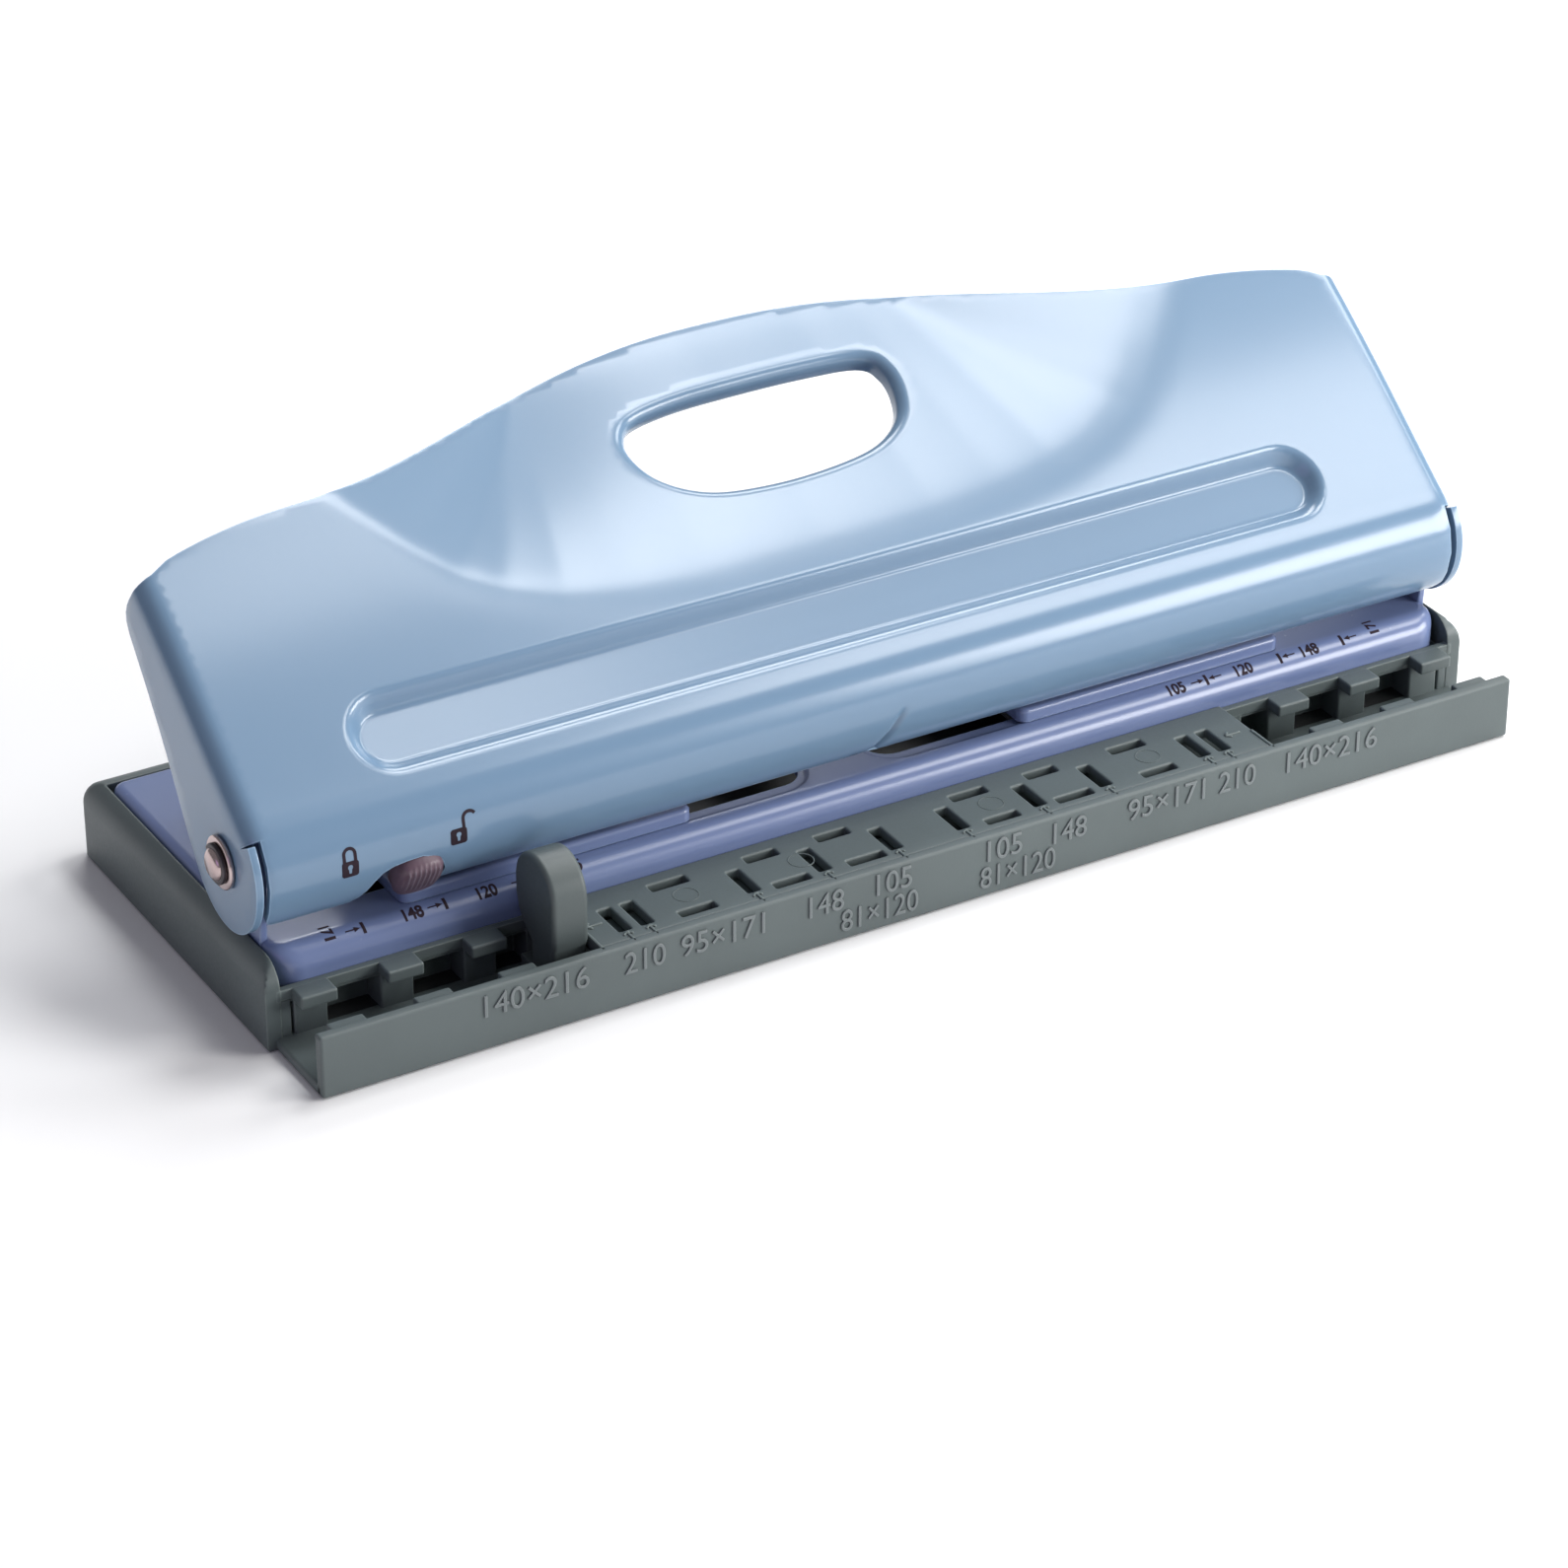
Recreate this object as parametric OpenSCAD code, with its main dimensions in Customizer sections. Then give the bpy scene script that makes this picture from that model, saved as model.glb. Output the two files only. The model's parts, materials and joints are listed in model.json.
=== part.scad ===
// Adjustable six-hole punch for organiser and planner pages.
// X runs along the punch, +Y to the back, +Z up, origin under the middle of the base.
// Inside the modules Y is counted from the outer face of the front wall.

/* [Tray] */
// Length of the tray across its side walls
tray_l = 215; // [213:0.5:219]
// Depth of the tray, front wall to back wall
tray_d = 82.4; // [82:0.1:86]
// Height of the straight part of the tray wall
wall_h = 9.9; // [9:0.1:10.5]
// Height of the shoulder beside the bed
shoulder_h = 14.1; // [13.6:0.1:14.2]
// Length of the front wall
front_l = 212.3; // [210:0.1:214]
// Height of the front wall
front_h = 10.4; // [10.3:0.1:11]

/* [Gutter and deck] */
// Distance from the front wall to the back of the gutter
gutter_d = 15.5; // [15.4:0.1:15.6]
// Height of the deck over the gutter
deck_h = 10.2; // [10:0.1:10.3]
// Left end of the deck
deck_left = -59.5; // [-59.6:0.1:-58]
// Right end of the deck
deck_right = 61; // [60:0.5:63]

/* [Bed] */
// Height of the upper face of the steel bed
bed_h = 14.8; // [14.7:0.1:14.9]
// Half length of the steel bed
bed_half = 104.8; // [104.6:0.1:104.9]
// Middle of the two head windows along the punch
windows_mid = -5.1; // [-6:0.1:-4]

/* [Handle] */
// Height of the hinge rod's axis
pivot_z = 26.3; // [26.2:0.1:26.6]
// Outer radius of the roll around the hinge rod
roll_r = 11.1; // [11:0.05:11.2]
// Thickness of the handle's sheet steel
sheet = 1.2; // [1:0.1:1.2]
// Slope of the handle plate at rest
slope = 36; // [35:0.5:36.5]
// Extra length of the grip behind the ends of the handle
hump = 14; // [10:0.5:15]

/* [Punches] */
// Radius of each punch
punch_r = 3; // [2.5:0.1:3]
// Distance between neighbouring punches
pitch = 19; // [19:0.1:19.2]
// Distance of the punches behind the front wall
punch_y = 43; // [42.5:0.1:43.2]

/* [Hidden] */
$fn = 64;
big = 200;

// tray walls
wall_t = 2.4;
floor_t = 1.8;
front_t = 2;
gutter_back = gutter_d + 1.2;
bed_gap = 0.2;
tray_half = tray_l / 2;
post_r = 3;

// hinge
pivot_y = 27.6;
rod_r = 2.5;
bore_r = rod_r + 0.05;
rod_half = tray_half + 2.3;
handle_half = tray_half;
flange_in = handle_half - sheet;
roll_half = flange_in - 1;
lip_angle = 223.4;
slit_angle = 150;

// handle plate, in the plate's own frame: x along, v up the slope, w out of the plate
plate_rear = 49;
rear_bow = 0.00032;
hump_half = 80;
corner_r = 6;
grip_fold = 19.5;
grip_corner = 46;
grip_end = [73, 48];
grip_drop = 7.4;
hole_half = 23.4;
hole_v = [12.6, 29.7];
hole_r = 7;
collar_h = 3.5;
recess_v = 8;
recess_half = 85;
recess_r = 5.4;
recess_depth = 2.3;
notch_x = [-90.6, -76.6];

// heads
jaw_l = 48.4;
jaw_t = 2.2;
jaw_y = [20.5, 53.5];
window_y = [23.4, 54];
window_front = 26.4;
window_step = [-60, 50];
window_bridge = 12.2;
window_outer = [-91.6, 87.4];
jaw_gap = 0.1;
jaw_h = bed_h + jaw_gap;
jaw_top = jaw_h + jaw_t;
left_head_x = -58.2;
right_head_x = 50.8;
inner_punch = 20.8;
bracket_z = [jaw_top + 2.2, 33.5];
bracket_y = [34, 52];
stop_y = 49.6;
bracket_x = [-22.6, 24];
ring_t = 0.8;
punch_tip = 19.6;
punch_top = 41.5;
spring_z = [bracket_z[0] + 2, bracket_z[1] - 0.3 - ring_t];

// edge guide
guide_x = -59.9;
tab_t = 6;
tab_r = 6.1;
tab_y = 10.3;
tab_z = 17.5;

// moves children from front-wall coordinates into the part's frame
module from_front() { translate([0, -tray_d / 2, 0]) children(); }

// frame of the hinge axis, axes still level
module at_pivot() { from_front() translate([0, pivot_y, pivot_z]) children(); }

// frame of the handle plate
module on_plate() { at_pivot() rotate([slope, 0, 0]) children(); }

// extrudes a shape drawn in Y and Z along X, from x0 to x1
module along_x(x0, x1) { translate([x0, 0, 0]) rotate([90, 0, 90]) linear_extrude(x1 - x0) children(); }

module block(x, y, z) { translate([x[0], y[0], z[0]]) cube([x[1] - x[0], y[1] - y[0], z[1] - z[0]]); }

// ring sector about the origin between angles a0 and a1, less than half a turn
module sector(r0, r1, a0, a1) {
    am = (a0 + a1) / 2;
    intersection() {
        difference() { circle(r1, $fn = 128); circle(r0, $fn = 128); }
        polygon([[0, 0], [3 * r1 * cos(a0), 3 * r1 * sin(a0)], [5 * r1 * cos(am), 5 * r1 * sin(am)],
                 [3 * r1 * cos(a1), 3 * r1 * sin(a1)]]);
    }
}

module stadium(half, r) {
    square([2 * half - 2 * r, 2 * r], center = true);
    for (s = [-1, 1]) translate([s * (half - r), 0]) circle(r);
}

module rounded_rect(w, h, r) {
    square([w - 2 * r, h], center = true);
    square([w, h - 2 * r], center = true);
    for (sx = [-1, 1], sy = [-1, 1]) translate([sx * (w / 2 - r), sy * (h / 2 - r)]) circle(r);
}

// ---- tray ----

ledge_x = [72.4, 86.2, 100.3];
ledge_half = 2.95;
slot_x = [-53.7, -49.9, -31.6, -19.2, -6.6, 5.4, 19.4, 31.5, 49.9, 53.7];
rear_slot_x = [[-44.9, -38.5], [-28.4, -22.8], [-15.9, -10.2], [8.3, 14.7], [22, 27.6], [37.6, 43.9]];
front_slot_x = [[-44.6, -38.4], [-28.3, -22.1], [-15.3, -8.9], [9.3, 15.2], [22.2, 28.7], [38, 44.2]];

// half section of a side wall, outer face at x = 0, drawn for the right-hand side
module side_wall_section() {
    polygon([[0, 0], [0, wall_h], [-0.7, wall_h + 2.4], [-2.4, shoulder_h],
             [-2.5, shoulder_h], [-2.5, 0]]);
}

// section of the back wall, outer face at y = 0
module back_wall_section() {
    polygon([[0, 0], [0, wall_h], [-1.2, wall_h + 2.3], [-3.6, shoulder_h - 0.6], [-5.9, shoulder_h],
             [-5.9, shoulder_h - 1.8], [-3.4, wall_h + 1.2], [-wall_t, wall_h - 1], [-wall_t, 0]]);
}

module side_walls() {
    intersection() {
        for (s = [0, 1]) mirror([s, 0, 0])
            translate([tray_half, tray_d + 5, 0]) rotate([90, 0, 0])
                linear_extrude(tray_d + 5 - gutter_back) side_wall_section();
        along_x(-tray_half - 1, tray_half + 1) polygon([[10, -1], [10, 20], [tray_d - 5.8, 20],
            [tray_d - 5.9, shoulder_h], [tray_d - 3.6, shoulder_h - 0.6], [tray_d - 1.2, wall_h + 2.3],
            [tray_d, wall_h], [tray_d, -1]]);
    }
}

module gutter_ledges() {
    for (s = [-1, 1], x = ledge_x) {
        block([s * x - ledge_half, s * x + ledge_half], [gutter_d - 3.4, gutter_d + 0.5], [7.7, 9.7]);
        block([s * x - ledge_half, s * x + ledge_half], [front_t - 0.5, 4.3], [8, 9.8]);
    }
}

module deck() {
    difference() {
        block([deck_left, deck_right], [front_t - 0.5, gutter_back], [deck_h - 1.6, deck_h]);
        for (x = slot_x) block([x - 1.1, x + 1.1], [4.5, 11.5], [0, 20]);
        for (x = rear_slot_x) block(x, [12.1, 14.1], [0, 20]);
        for (x = front_slot_x) block(x, [3.5, 5.3], [0, 20]);
    }
}

module base_tray() {
    color("#5e6a69") from_front() {
        block([-front_l / 2, front_l / 2], [0.6, gutter_back], [0, floor_t]);
        block([-tray_half, tray_half], [gutter_d, tray_d - 1], [0, floor_t]);
        block([-front_l / 2, front_l / 2], [0, front_t], [0, front_h]);
        block([-tray_half + 1, tray_half - 1], [gutter_d, gutter_back], [floor_t - 0.5, 9.7]);
        along_x(-tray_half + 2.45, tray_half - 2.45) translate([tray_d, 0]) back_wall_section();
        side_walls();
        gutter_ledges();
        deck();
        for (sx = [-1, 1], y = [26, 70])
            translate([sx * 99, y, floor_t - 0.5]) cylinder(r = post_r, h = bed_h - sheet - floor_t + 0.5);
    }
}

// ---- bed ----

front_roll_r = 4;

module bed_section() {
    y0 = gutter_back + 0.1;
    translate([y0 + front_roll_r, bed_h - front_roll_r])
        sector(front_roll_r - sheet, front_roll_r, 90, 180);
    translate([y0, deck_h + 0.1]) square([sheet, bed_h - front_roll_r - deck_h - 0.1 + 0.01]);
    translate([y0 + front_roll_r - 0.01, bed_h - sheet]) square([76.2 - y0 - front_roll_r + 0.01, sheet]);
    translate([76.2 - sheet, 8.5]) square([sheet, bed_h - 8.5]);
}

module bed_plate() {
    inner = [windows_mid - window_bridge / 2, windows_mid + window_bridge / 2];
    color("#9db7d2") from_front() difference() {
        along_x(-bed_half, bed_half) bed_section();
        block([window_step[0], inner[0]], window_y, [0, 20]);
        block([inner[1], window_step[1]], window_y, [0, 20]);
        block([window_outer[0], window_step[0] + 1], [window_front, window_y[1]], [0, 20]);
        block([window_step[1] - 1, window_outer[1]], [window_front, window_y[1]], [0, 20]);
    }
}

module ear_section() {
    difference() {
        union() {
            circle(6.5);
            polygon([[-6.4, 0], [6.4, 0], [8, bed_h - pivot_z], [-5.4, bed_h - pivot_z]]);
        }
        circle(bore_r);
    }
}

// upright ears at the bed's ends that hold the hinge rod
module bed_ears() {
    color("#9db7d2") at_pivot() both_ends() along_x(bed_half - sheet, bed_half) ear_section();
}

// ---- hinge rod and its rings ----

module ring_x(x0, x1, r0, r1) {
    along_x(x0, x1) difference() { circle(r1); circle(r0); }
}

module both_ends() { children(); mirror([1, 0, 0]) children(); }

module pivot_rod() {
    color("#b9aeb0") at_pivot() along_x(-rod_half, rod_half) circle(rod_r);
}

module pivot_bushes() {
    color("#e8e6e0") at_pivot() both_ends() ring_x(bed_half, flange_in - 0.1, rod_r, 4.5);
}

module pivot_washers() {
    color("#c3b3b2") at_pivot() both_ends() ring_x(handle_half + 0.1, handle_half + 0.9, rod_r, 4.2);
}

// open-sided retaining clip in the rod's groove
module pivot_clips() {
    color("#3c3236") at_pivot() both_ends() along_x(handle_half + 0.9, handle_half + 1.6) difference() {
        circle(3.7);
        circle(rod_r);
        translate([0, -1.6]) square([5, 3.2]);
    }
}

// ---- rail behind the heads ----

rail_y = [57, 60.5];
rail_half = 98;

module head_rail() {
    color("#a9adb0") from_front() difference() {
        block([-rail_half, rail_half], rail_y, [bed_h, bed_h + 3]);
        for (i = [-16 : 15]) translate([i * 6 + 3, rail_y[0], bed_h - 1]) cylinder(r = 0.9, h = 5, $fn = 24);
    }
}

module rail_rivets() {
    color("#c9ccd0") from_front() for (x = [-90, 0, 90])
        translate([x, (rail_y[0] + rail_y[1]) / 2 + 0.5, bed_h + 3]) intersection() {
            translate([0, 0, -1.6]) sphere(r = 2, $fn = 32);
            cylinder(r = 1.2, h = 1);
        }
}

// ---- handle ----

// rear edge of the handle plate, as v for a place x along the handle
function rear_v(x) = plate_rear - rear_bow * x * x
    + (abs(x) < hump_half ? hump * pow((1 + cos(180 * x / hump_half)) / 2, 0.85) : 0);

// everything behind the rear edge of the handle, with its rounded corners
module behind_plate() {
    cx = handle_half - corner_r;
    cv = rear_v(cx) - corner_r;
    polygon(concat([[-handle_half - 5, 100], [handle_half + 5, 100], [handle_half + 5, cv]],
                   [for (a = [0 : 15 : 75]) [cx + corner_r * cos(a), cv + corner_r * sin(a)]],
                   [for (x = [96 : -6 : -96]) [x, rear_v(x)]],
                   [for (a = [105 : 15 : 180]) [-cx + corner_r * cos(a), cv + corner_r * sin(a)]],
                   [[-handle_half - 5, cv]]));
}

// turn of the grip's side folds from its front fold
grip_turn = atan2(grip_end[1] - grip_fold, grip_end[0] - grip_corner);

// frame of the grip's middle facet, origin on its front fold
module on_grip() { translate([0, grip_fold, roll_r]) rotate([-grip_drop, 0, 0]) children(); }

// everything below a plane that falls to the back from a fold line through the origin
module below_fold() { rotate([-grip_drop, 0, 0]) translate([-200, -100, -60]) cube([400, 200, 60]); }

// everything below the three facets of the grip, whose folds lie at height h
module below_grip(h) {
    translate([0, grip_fold, h]) below_fold();
    both_ends() translate([grip_corner, grip_fold, h]) rotate([0, 0, grip_turn]) below_fold();
}

module hole_outline(grow) {
    translate([0, (hole_v[0] + hole_v[1]) / 2])
        rounded_rect(2 * (hole_half + grow), hole_v[1] - hole_v[0] + 2 * grow, hole_r + grow);
}

// section of the roll and plate, filled in to the hinge axis
module outer_section() {
    circle(roll_r, $fn = 128);
    translate([0, -1]) square([85, roll_r + 1]);
}

// what the outer section loses inside the sheet and below the lip
module inner_section() {
    a = lip_angle - slope;
    circle(roll_r - sheet, $fn = 128);
    translate([0, -2]) square([90, roll_r - sheet + 2]);
    polygon([[0, 1], [0, 0], [30 * cos(a), 30 * sin(a)], [-30, -40], [90, -40], [90, 1]]);
}

module roll_and_plate() {
    difference() {
        intersection() {
            along_x(-handle_half, handle_half) outer_section();
            below_grip(roll_r);
        }
        intersection() {
            along_x(-handle_half - 1, handle_half + 1) inner_section();
            below_grip(roll_r - sheet);
        }
        translate([0, 0, -20]) linear_extrude(60) behind_plate();
        both_ends() along_x(roll_half, handle_half + 1)
            sector(4, roll_r + 1, slit_angle - slope, lip_angle - slope + 8);
    }
}

// pan of the long pressed recess
module recess_pan() {
    translate([0, recess_v, roll_r - recess_depth - sheet])
        linear_extrude(recess_depth + sheet - 0.4) stadium(recess_half + sheet, recess_r + sheet);
}

// side flange, drawn in the plate's frame with v along and w out of the plate
module flange_section() {
    difference() {
        union() {
            circle(roll_r - 0.2, $fn = 128);
            polygon([[0, roll_r - 0.4], [39.2, roll_r - 0.4], [41.2, 9.4], [42.1, 7.3], [42.1, 5],
                     [41.4, 2.8], [29.9, -0.7], [22.2, -3.1], [4.6, -10], [0, 0]]);
        }
        circle(bore_r);
    }
}

module handle_shell() {
    color("#a3c1dc") on_plate() difference() {
        union() {
            roll_and_plate();
            recess_pan();
            both_ends() along_x(flange_in, handle_half - 0.05) flange_section();
            on_grip() translate([0, 0, -sheet - collar_h]) linear_extrude(collar_h + 0.6)
                hole_outline(sheet);
        }
        on_grip() translate([0, 0, -9]) linear_extrude(18) hole_outline(0);
        translate([0, recess_v, roll_r - recess_depth]) linear_extrude(9) stadium(recess_half, recess_r);
        along_x(notch_x[0], notch_x[1])
            sector(roll_r - 2, roll_r + 1, 188 - slope, lip_angle - slope + 6);
    }
}

// ---- bar that presses the punches ----

nose_r = 2.4;
nose_v = 20.96;
nose_w = 6.9;
bar_half = 100;
bar_foot = [15.7, 19];

module pressure_bar() {
    color("#b7babd") on_plate() {
        along_x(-bar_half, bar_half) translate([nose_v, nose_w]) circle(nose_r);
        along_x(-bar_half, bar_half) polygon([[bar_foot[0], 8.7], [bar_foot[0], 9.85], [bar_foot[1], 9.85],
            [bar_foot[1], 9.2], [nose_v + 0.6, nose_w + 0.4], [nose_v - 1.4, nose_w - 0.6],
            [bar_foot[0] + 1.6, 8.7]]);
    }
}

module pressure_bar_welds() {
    color("#8f9396") on_plate() for (i = [-4 : 4])
        translate([i * 23, bar_foot[0] + 0.5, 8.2]) cylinder(r = 1, h = 0.5);
}

// ---- lock ----

lock_x = -80.7;
lock_angle = 214;
knob_w = 7;
knob_h = 6.6;
knob_out = [8.7, 12.4];

// frame with its Z axis pointing out through the handle's notch
module at_lock() { at_pivot() rotate([lock_angle - 90, 0, 0]) translate([lock_x, 0, 0]) children(); }

module lock_slide() {
    color("#8d9095") {
        at_pivot() ring_x(lock_x - 6.5, lock_x + 6.5, bore_r, 4.2);
        at_lock() translate([-2, -1, 3.6]) cube([4, 2, knob_out[0] - 3.6]);
    }
}

module lock_knob() {
    color("#8a7f90") at_lock() difference() {
        union() {
            translate([0, 0, knob_out[0]]) linear_extrude(knob_out[1] - knob_out[0] - 0.7)
                rounded_rect(knob_w, knob_h, 2.4);
            for (i = [-2 : 2]) translate([i * 1.25, 0, knob_out[1] - 0.75])
                rotate([90, 0, 0]) cylinder(r = 0.55, h = knob_h - 2.2 - 0.5 * abs(i), center = true);
        }
    }
}

// ---- page edge guide ----

module edge_guide() {
    left = guide_x - tab_t;
    color("#6b7574") from_front() {
        block([left, -4], [2.5, 15], [2.3, 4.4]);
        block([left, -4], [5.2, 11.4], [4.3, 8.2]);
        block([-7.4, -5.6], [6, 10], [8.1, 8.4]);
        along_x(left, guide_x) {
            translate([4.9, 4]) square([6.8, 9]);
            translate([tab_y - tab_r, 10.6]) square([2 * tab_r, tab_z - 10.6]);
            translate([tab_y, tab_z]) circle(tab_r);
        }
    }
}

// ---- heads; side is -1 for the left head and 1 for the right head ----

function head_x(side) = side < 0 ? left_head_x : right_head_x;

// frame of a head: origin under the jaw's middle, +X away from the middle of the punch
module on_head(side) { from_front() translate([head_x(side), 0, 0]) mirror([side < 0 ? 1 : 0, 0, 0]) children(); }

// places of the punches along the head, inner to outer
punch_xs = [-inner_punch, -inner_punch + pitch, -inner_punch + 2 * pitch];

module punch_bores(z, r) { for (x = punch_xs) translate([x, punch_y, z[0]]) cylinder(r = r, h = z[1] - z[0]); }

module die_plate(side) {
    color("#98b2cf") on_head(side) difference() {
        union() {
            block([-jaw_l / 2, jaw_l / 2], jaw_y, [jaw_h, jaw_top]);
            block([-jaw_l / 2, jaw_l / 2 - 1], [window_front + 0.3, window_y[1] - 0.5],
                  [bed_h - sheet - 0.1, jaw_h + 0.1]);
        }
        punch_bores([5, 20], punch_r + 0.08);
    }
}

module keeper_plate(side) {
    color("#a9adb0") on_head(side) difference() {
        block([-jaw_l / 2 + 1, jaw_l / 2 - 2], [22, 55.4], [12, bed_h - sheet - 0.1]);
        punch_bores([5, 20], punch_r + 0.6);
    }
}

module bracket_section() {
    translate([stop_y, jaw_top]) square([bracket_y[1] - stop_y, bracket_z[1] + 1.5 - jaw_top]);
    translate([bracket_y[0], bracket_z[0]]) square([bracket_y[1] - bracket_y[0], 2]);
    translate([bracket_y[0], bracket_z[1]]) square([bracket_y[1] - bracket_y[0], 1.5]);
}

module punch_bracket(side) {
    color("#b3b6ba") on_head(side) difference() {
        along_x(-bracket_x[1], -bracket_x[0]) bracket_section();
        punch_bores([18, 40], punch_r + 0.05);
    }
}

module head_rivets(side) {
    color("#d0d2d4") on_head(side) for (x = [-14, 14]) translate([x, 52.75, jaw_top]) cylinder(r = 0.6, h = 1);
}

// leaf spring that clicks along the notches of the rail
module detent_spring(side) {
    color("#c8cacc") on_head(side) along_x(-3, 3) polygon([[52, 28], [52, 22], [53, 21.4], [56.5, 18.5],
        [57.6, 18.1], [59, 18.9], [58.8, 19.4], [57.6, 18.7], [56.9, 19], [53.5, 21.8], [52.6, 22.4], [52.6, 28]]);
}

// closed helical coil about Z
coil_r = 3.75;
coil_wire = 0.35;
coil_turns = 5;
coil_steps = 10;
coil_sides = 4;

function coil_point(t, a, h) = let (q = 360 * coil_turns * t, rr = coil_r + coil_wire * cos(a))
    [rr * cos(q), rr * sin(q), coil_wire + (h - 2 * coil_wire) * t + coil_wire * sin(a)];

module coil(h) {
    rings = coil_turns * coil_steps;
    sides = coil_sides;
    points = [for (i = [0 : rings], j = [0 : sides - 1]) coil_point(i / rings, 360 * j / sides, h)];
    faces = concat(
        [[for (j = [0 : sides - 1]) j]],
        [for (i = [0 : rings - 1], j = [0 : sides - 1], k = [0, 1])
            let (a = i * sides + j, b = i * sides + (j + 1) % sides, c = a + sides, d = b + sides)
            k == 0 ? [a, d, b] : [a, c, d]],
        [[for (j = [sides - 1 : -1 : 0]) rings * sides + j]]);
    polyhedron(points, faces, convexity = 12);
}

module return_springs(side) {
    color("#c4c6c8") on_head(side) for (x = punch_xs)
        translate([x, punch_y, spring_z[0]]) coil(spring_z[1] - spring_z[0]);
}

// one punch with a hollow-ground tip
module punch(side, i) {
    color("#d3d5d8") on_head(side) translate([punch_xs[i], punch_y, 0]) difference() {
        translate([0, 0, punch_tip]) cylinder(r = punch_r, h = punch_top - punch_tip);
        translate([0, 0, punch_tip - 1.2]) rotate([0, 90, 0]) cylinder(r = 2, h = 10, center = true);
    }
}

module punch_rings(side) {
    color("#4a4c50") on_head(side) for (x = punch_xs) translate([x, punch_y, spring_z[1]]) difference() {
        cylinder(r = punch_r + 1.4, h = ring_t);
        translate([0, 0, -1]) cylinder(r = punch_r, h = 3);
    }
}

base_tray();
bed_plate();
bed_ears();
pivot_rod();
pivot_bushes();
pivot_washers();
pivot_clips();
head_rail();
rail_rivets();
handle_shell();
pressure_bar();
pressure_bar_welds();
lock_slide();
lock_knob();
edge_guide();
die_plate(-1);  // left_die_plate
keeper_plate(-1);  // left_keeper_plate
punch_bracket(-1);  // left_punch_bracket
head_rivets(-1);  // left_head_rivets
detent_spring(-1);  // left_detent_spring
return_springs(-1);  // left_return_springs
punch(-1, 2);  // left_punch_outer
punch(-1, 1);  // left_punch_middle
punch(-1, 0);  // left_punch_inner
punch_rings(-1);  // left_punch_rings
die_plate(1);  // right_die_plate
keeper_plate(1);  // right_keeper_plate
punch_bracket(1);  // right_punch_bracket
head_rivets(1);  // right_head_rivets
detent_spring(1);  // right_detent_spring
return_springs(1);  // right_return_springs
punch(1, 0);  // right_punch_inner
punch(1, 1);  // right_punch_middle
punch(1, 2);  // right_punch_outer
punch_rings(1);  // right_punch_rings
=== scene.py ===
import json
import math

import bmesh
import bpy
import numpy as np
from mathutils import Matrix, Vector, geometry


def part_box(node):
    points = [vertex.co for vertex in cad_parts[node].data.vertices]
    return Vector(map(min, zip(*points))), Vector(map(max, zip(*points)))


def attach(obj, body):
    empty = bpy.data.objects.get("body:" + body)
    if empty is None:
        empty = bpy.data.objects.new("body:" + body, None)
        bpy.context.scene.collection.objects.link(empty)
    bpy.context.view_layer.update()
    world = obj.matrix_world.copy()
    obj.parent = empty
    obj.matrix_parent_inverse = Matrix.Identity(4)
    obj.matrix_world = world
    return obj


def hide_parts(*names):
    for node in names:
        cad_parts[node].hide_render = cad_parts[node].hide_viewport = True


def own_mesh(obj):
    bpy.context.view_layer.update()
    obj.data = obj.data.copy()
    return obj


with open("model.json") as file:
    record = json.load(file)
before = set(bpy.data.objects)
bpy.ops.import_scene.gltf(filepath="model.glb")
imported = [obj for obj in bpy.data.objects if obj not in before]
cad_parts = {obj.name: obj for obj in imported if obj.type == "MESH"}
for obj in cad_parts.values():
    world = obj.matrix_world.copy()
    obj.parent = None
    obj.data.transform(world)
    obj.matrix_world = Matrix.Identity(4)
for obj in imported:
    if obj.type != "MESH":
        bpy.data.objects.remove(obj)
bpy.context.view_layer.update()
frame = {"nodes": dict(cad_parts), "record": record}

# ---- frame: millimetres, Y counted from the outer face of the front wall ----

MM = 0.001
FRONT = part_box("base_tray")[0].y
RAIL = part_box("bed_plate")[1].z / MM
TRAY_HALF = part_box("base_tray")[1].x / MM
DEPTH = (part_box("base_tray")[1].y - FRONT) / MM
rod_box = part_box("pivot_rod")
PIVOT_Y = ((rod_box[0].y + rod_box[1].y) / 2 - FRONT) / MM
PIVOT_Z = (rod_box[0].z + rod_box[1].z) / 2 / MM


def P(x, y, z):
    """Places in metres for millimetres; numbers and arrays may be mixed."""
    parts = (np.asarray(x, float) * MM, np.asarray(y, float) * MM + FRONT, np.asarray(z, float) * MM)
    return np.stack(np.broadcast_arrays(*parts), -1)


# ---- mesh helpers ----

SHARP = math.radians(38)


def new_object(name, data):
    obj = bpy.data.objects.new(name, data)
    bpy.context.scene.collection.objects.link(obj)
    return obj


def join(verts, faces, more_verts, more_faces):
    """Adds one mesh to the lists of another."""
    base = len(verts)
    verts += [tuple(p) for p in more_verts]
    faces += [tuple(base + i for i in f) for f in more_faces]


def quads(rows, n, closed, base=0, ring=False):
    """Faces between rows of n points; closed joins each row's ends, ring joins the last row to the first."""
    faces = []
    for j in range(rows if ring else rows - 1):
        low, high = base + j * n, base + (j + 1) % rows * n
        for i in range(n if closed else n - 1):
            k = (i + 1) % n
            faces.append((low + i, low + k, high + k, high + i))
    return faces


def edited(mesh, change):
    """Changes a mesh through bmesh."""
    bm = bmesh.new()
    bm.from_mesh(mesh)
    change(bm)
    bm.to_mesh(mesh)
    bm.free()


def face_outwards(bm):
    bmesh.ops.recalc_face_normals(bm, faces=bm.faces)


def mark_sharp(bm):
    for e in bm.edges:
        e.smooth = len(e.link_faces) == 2 and e.calc_face_angle(0) < SHARP


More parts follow.
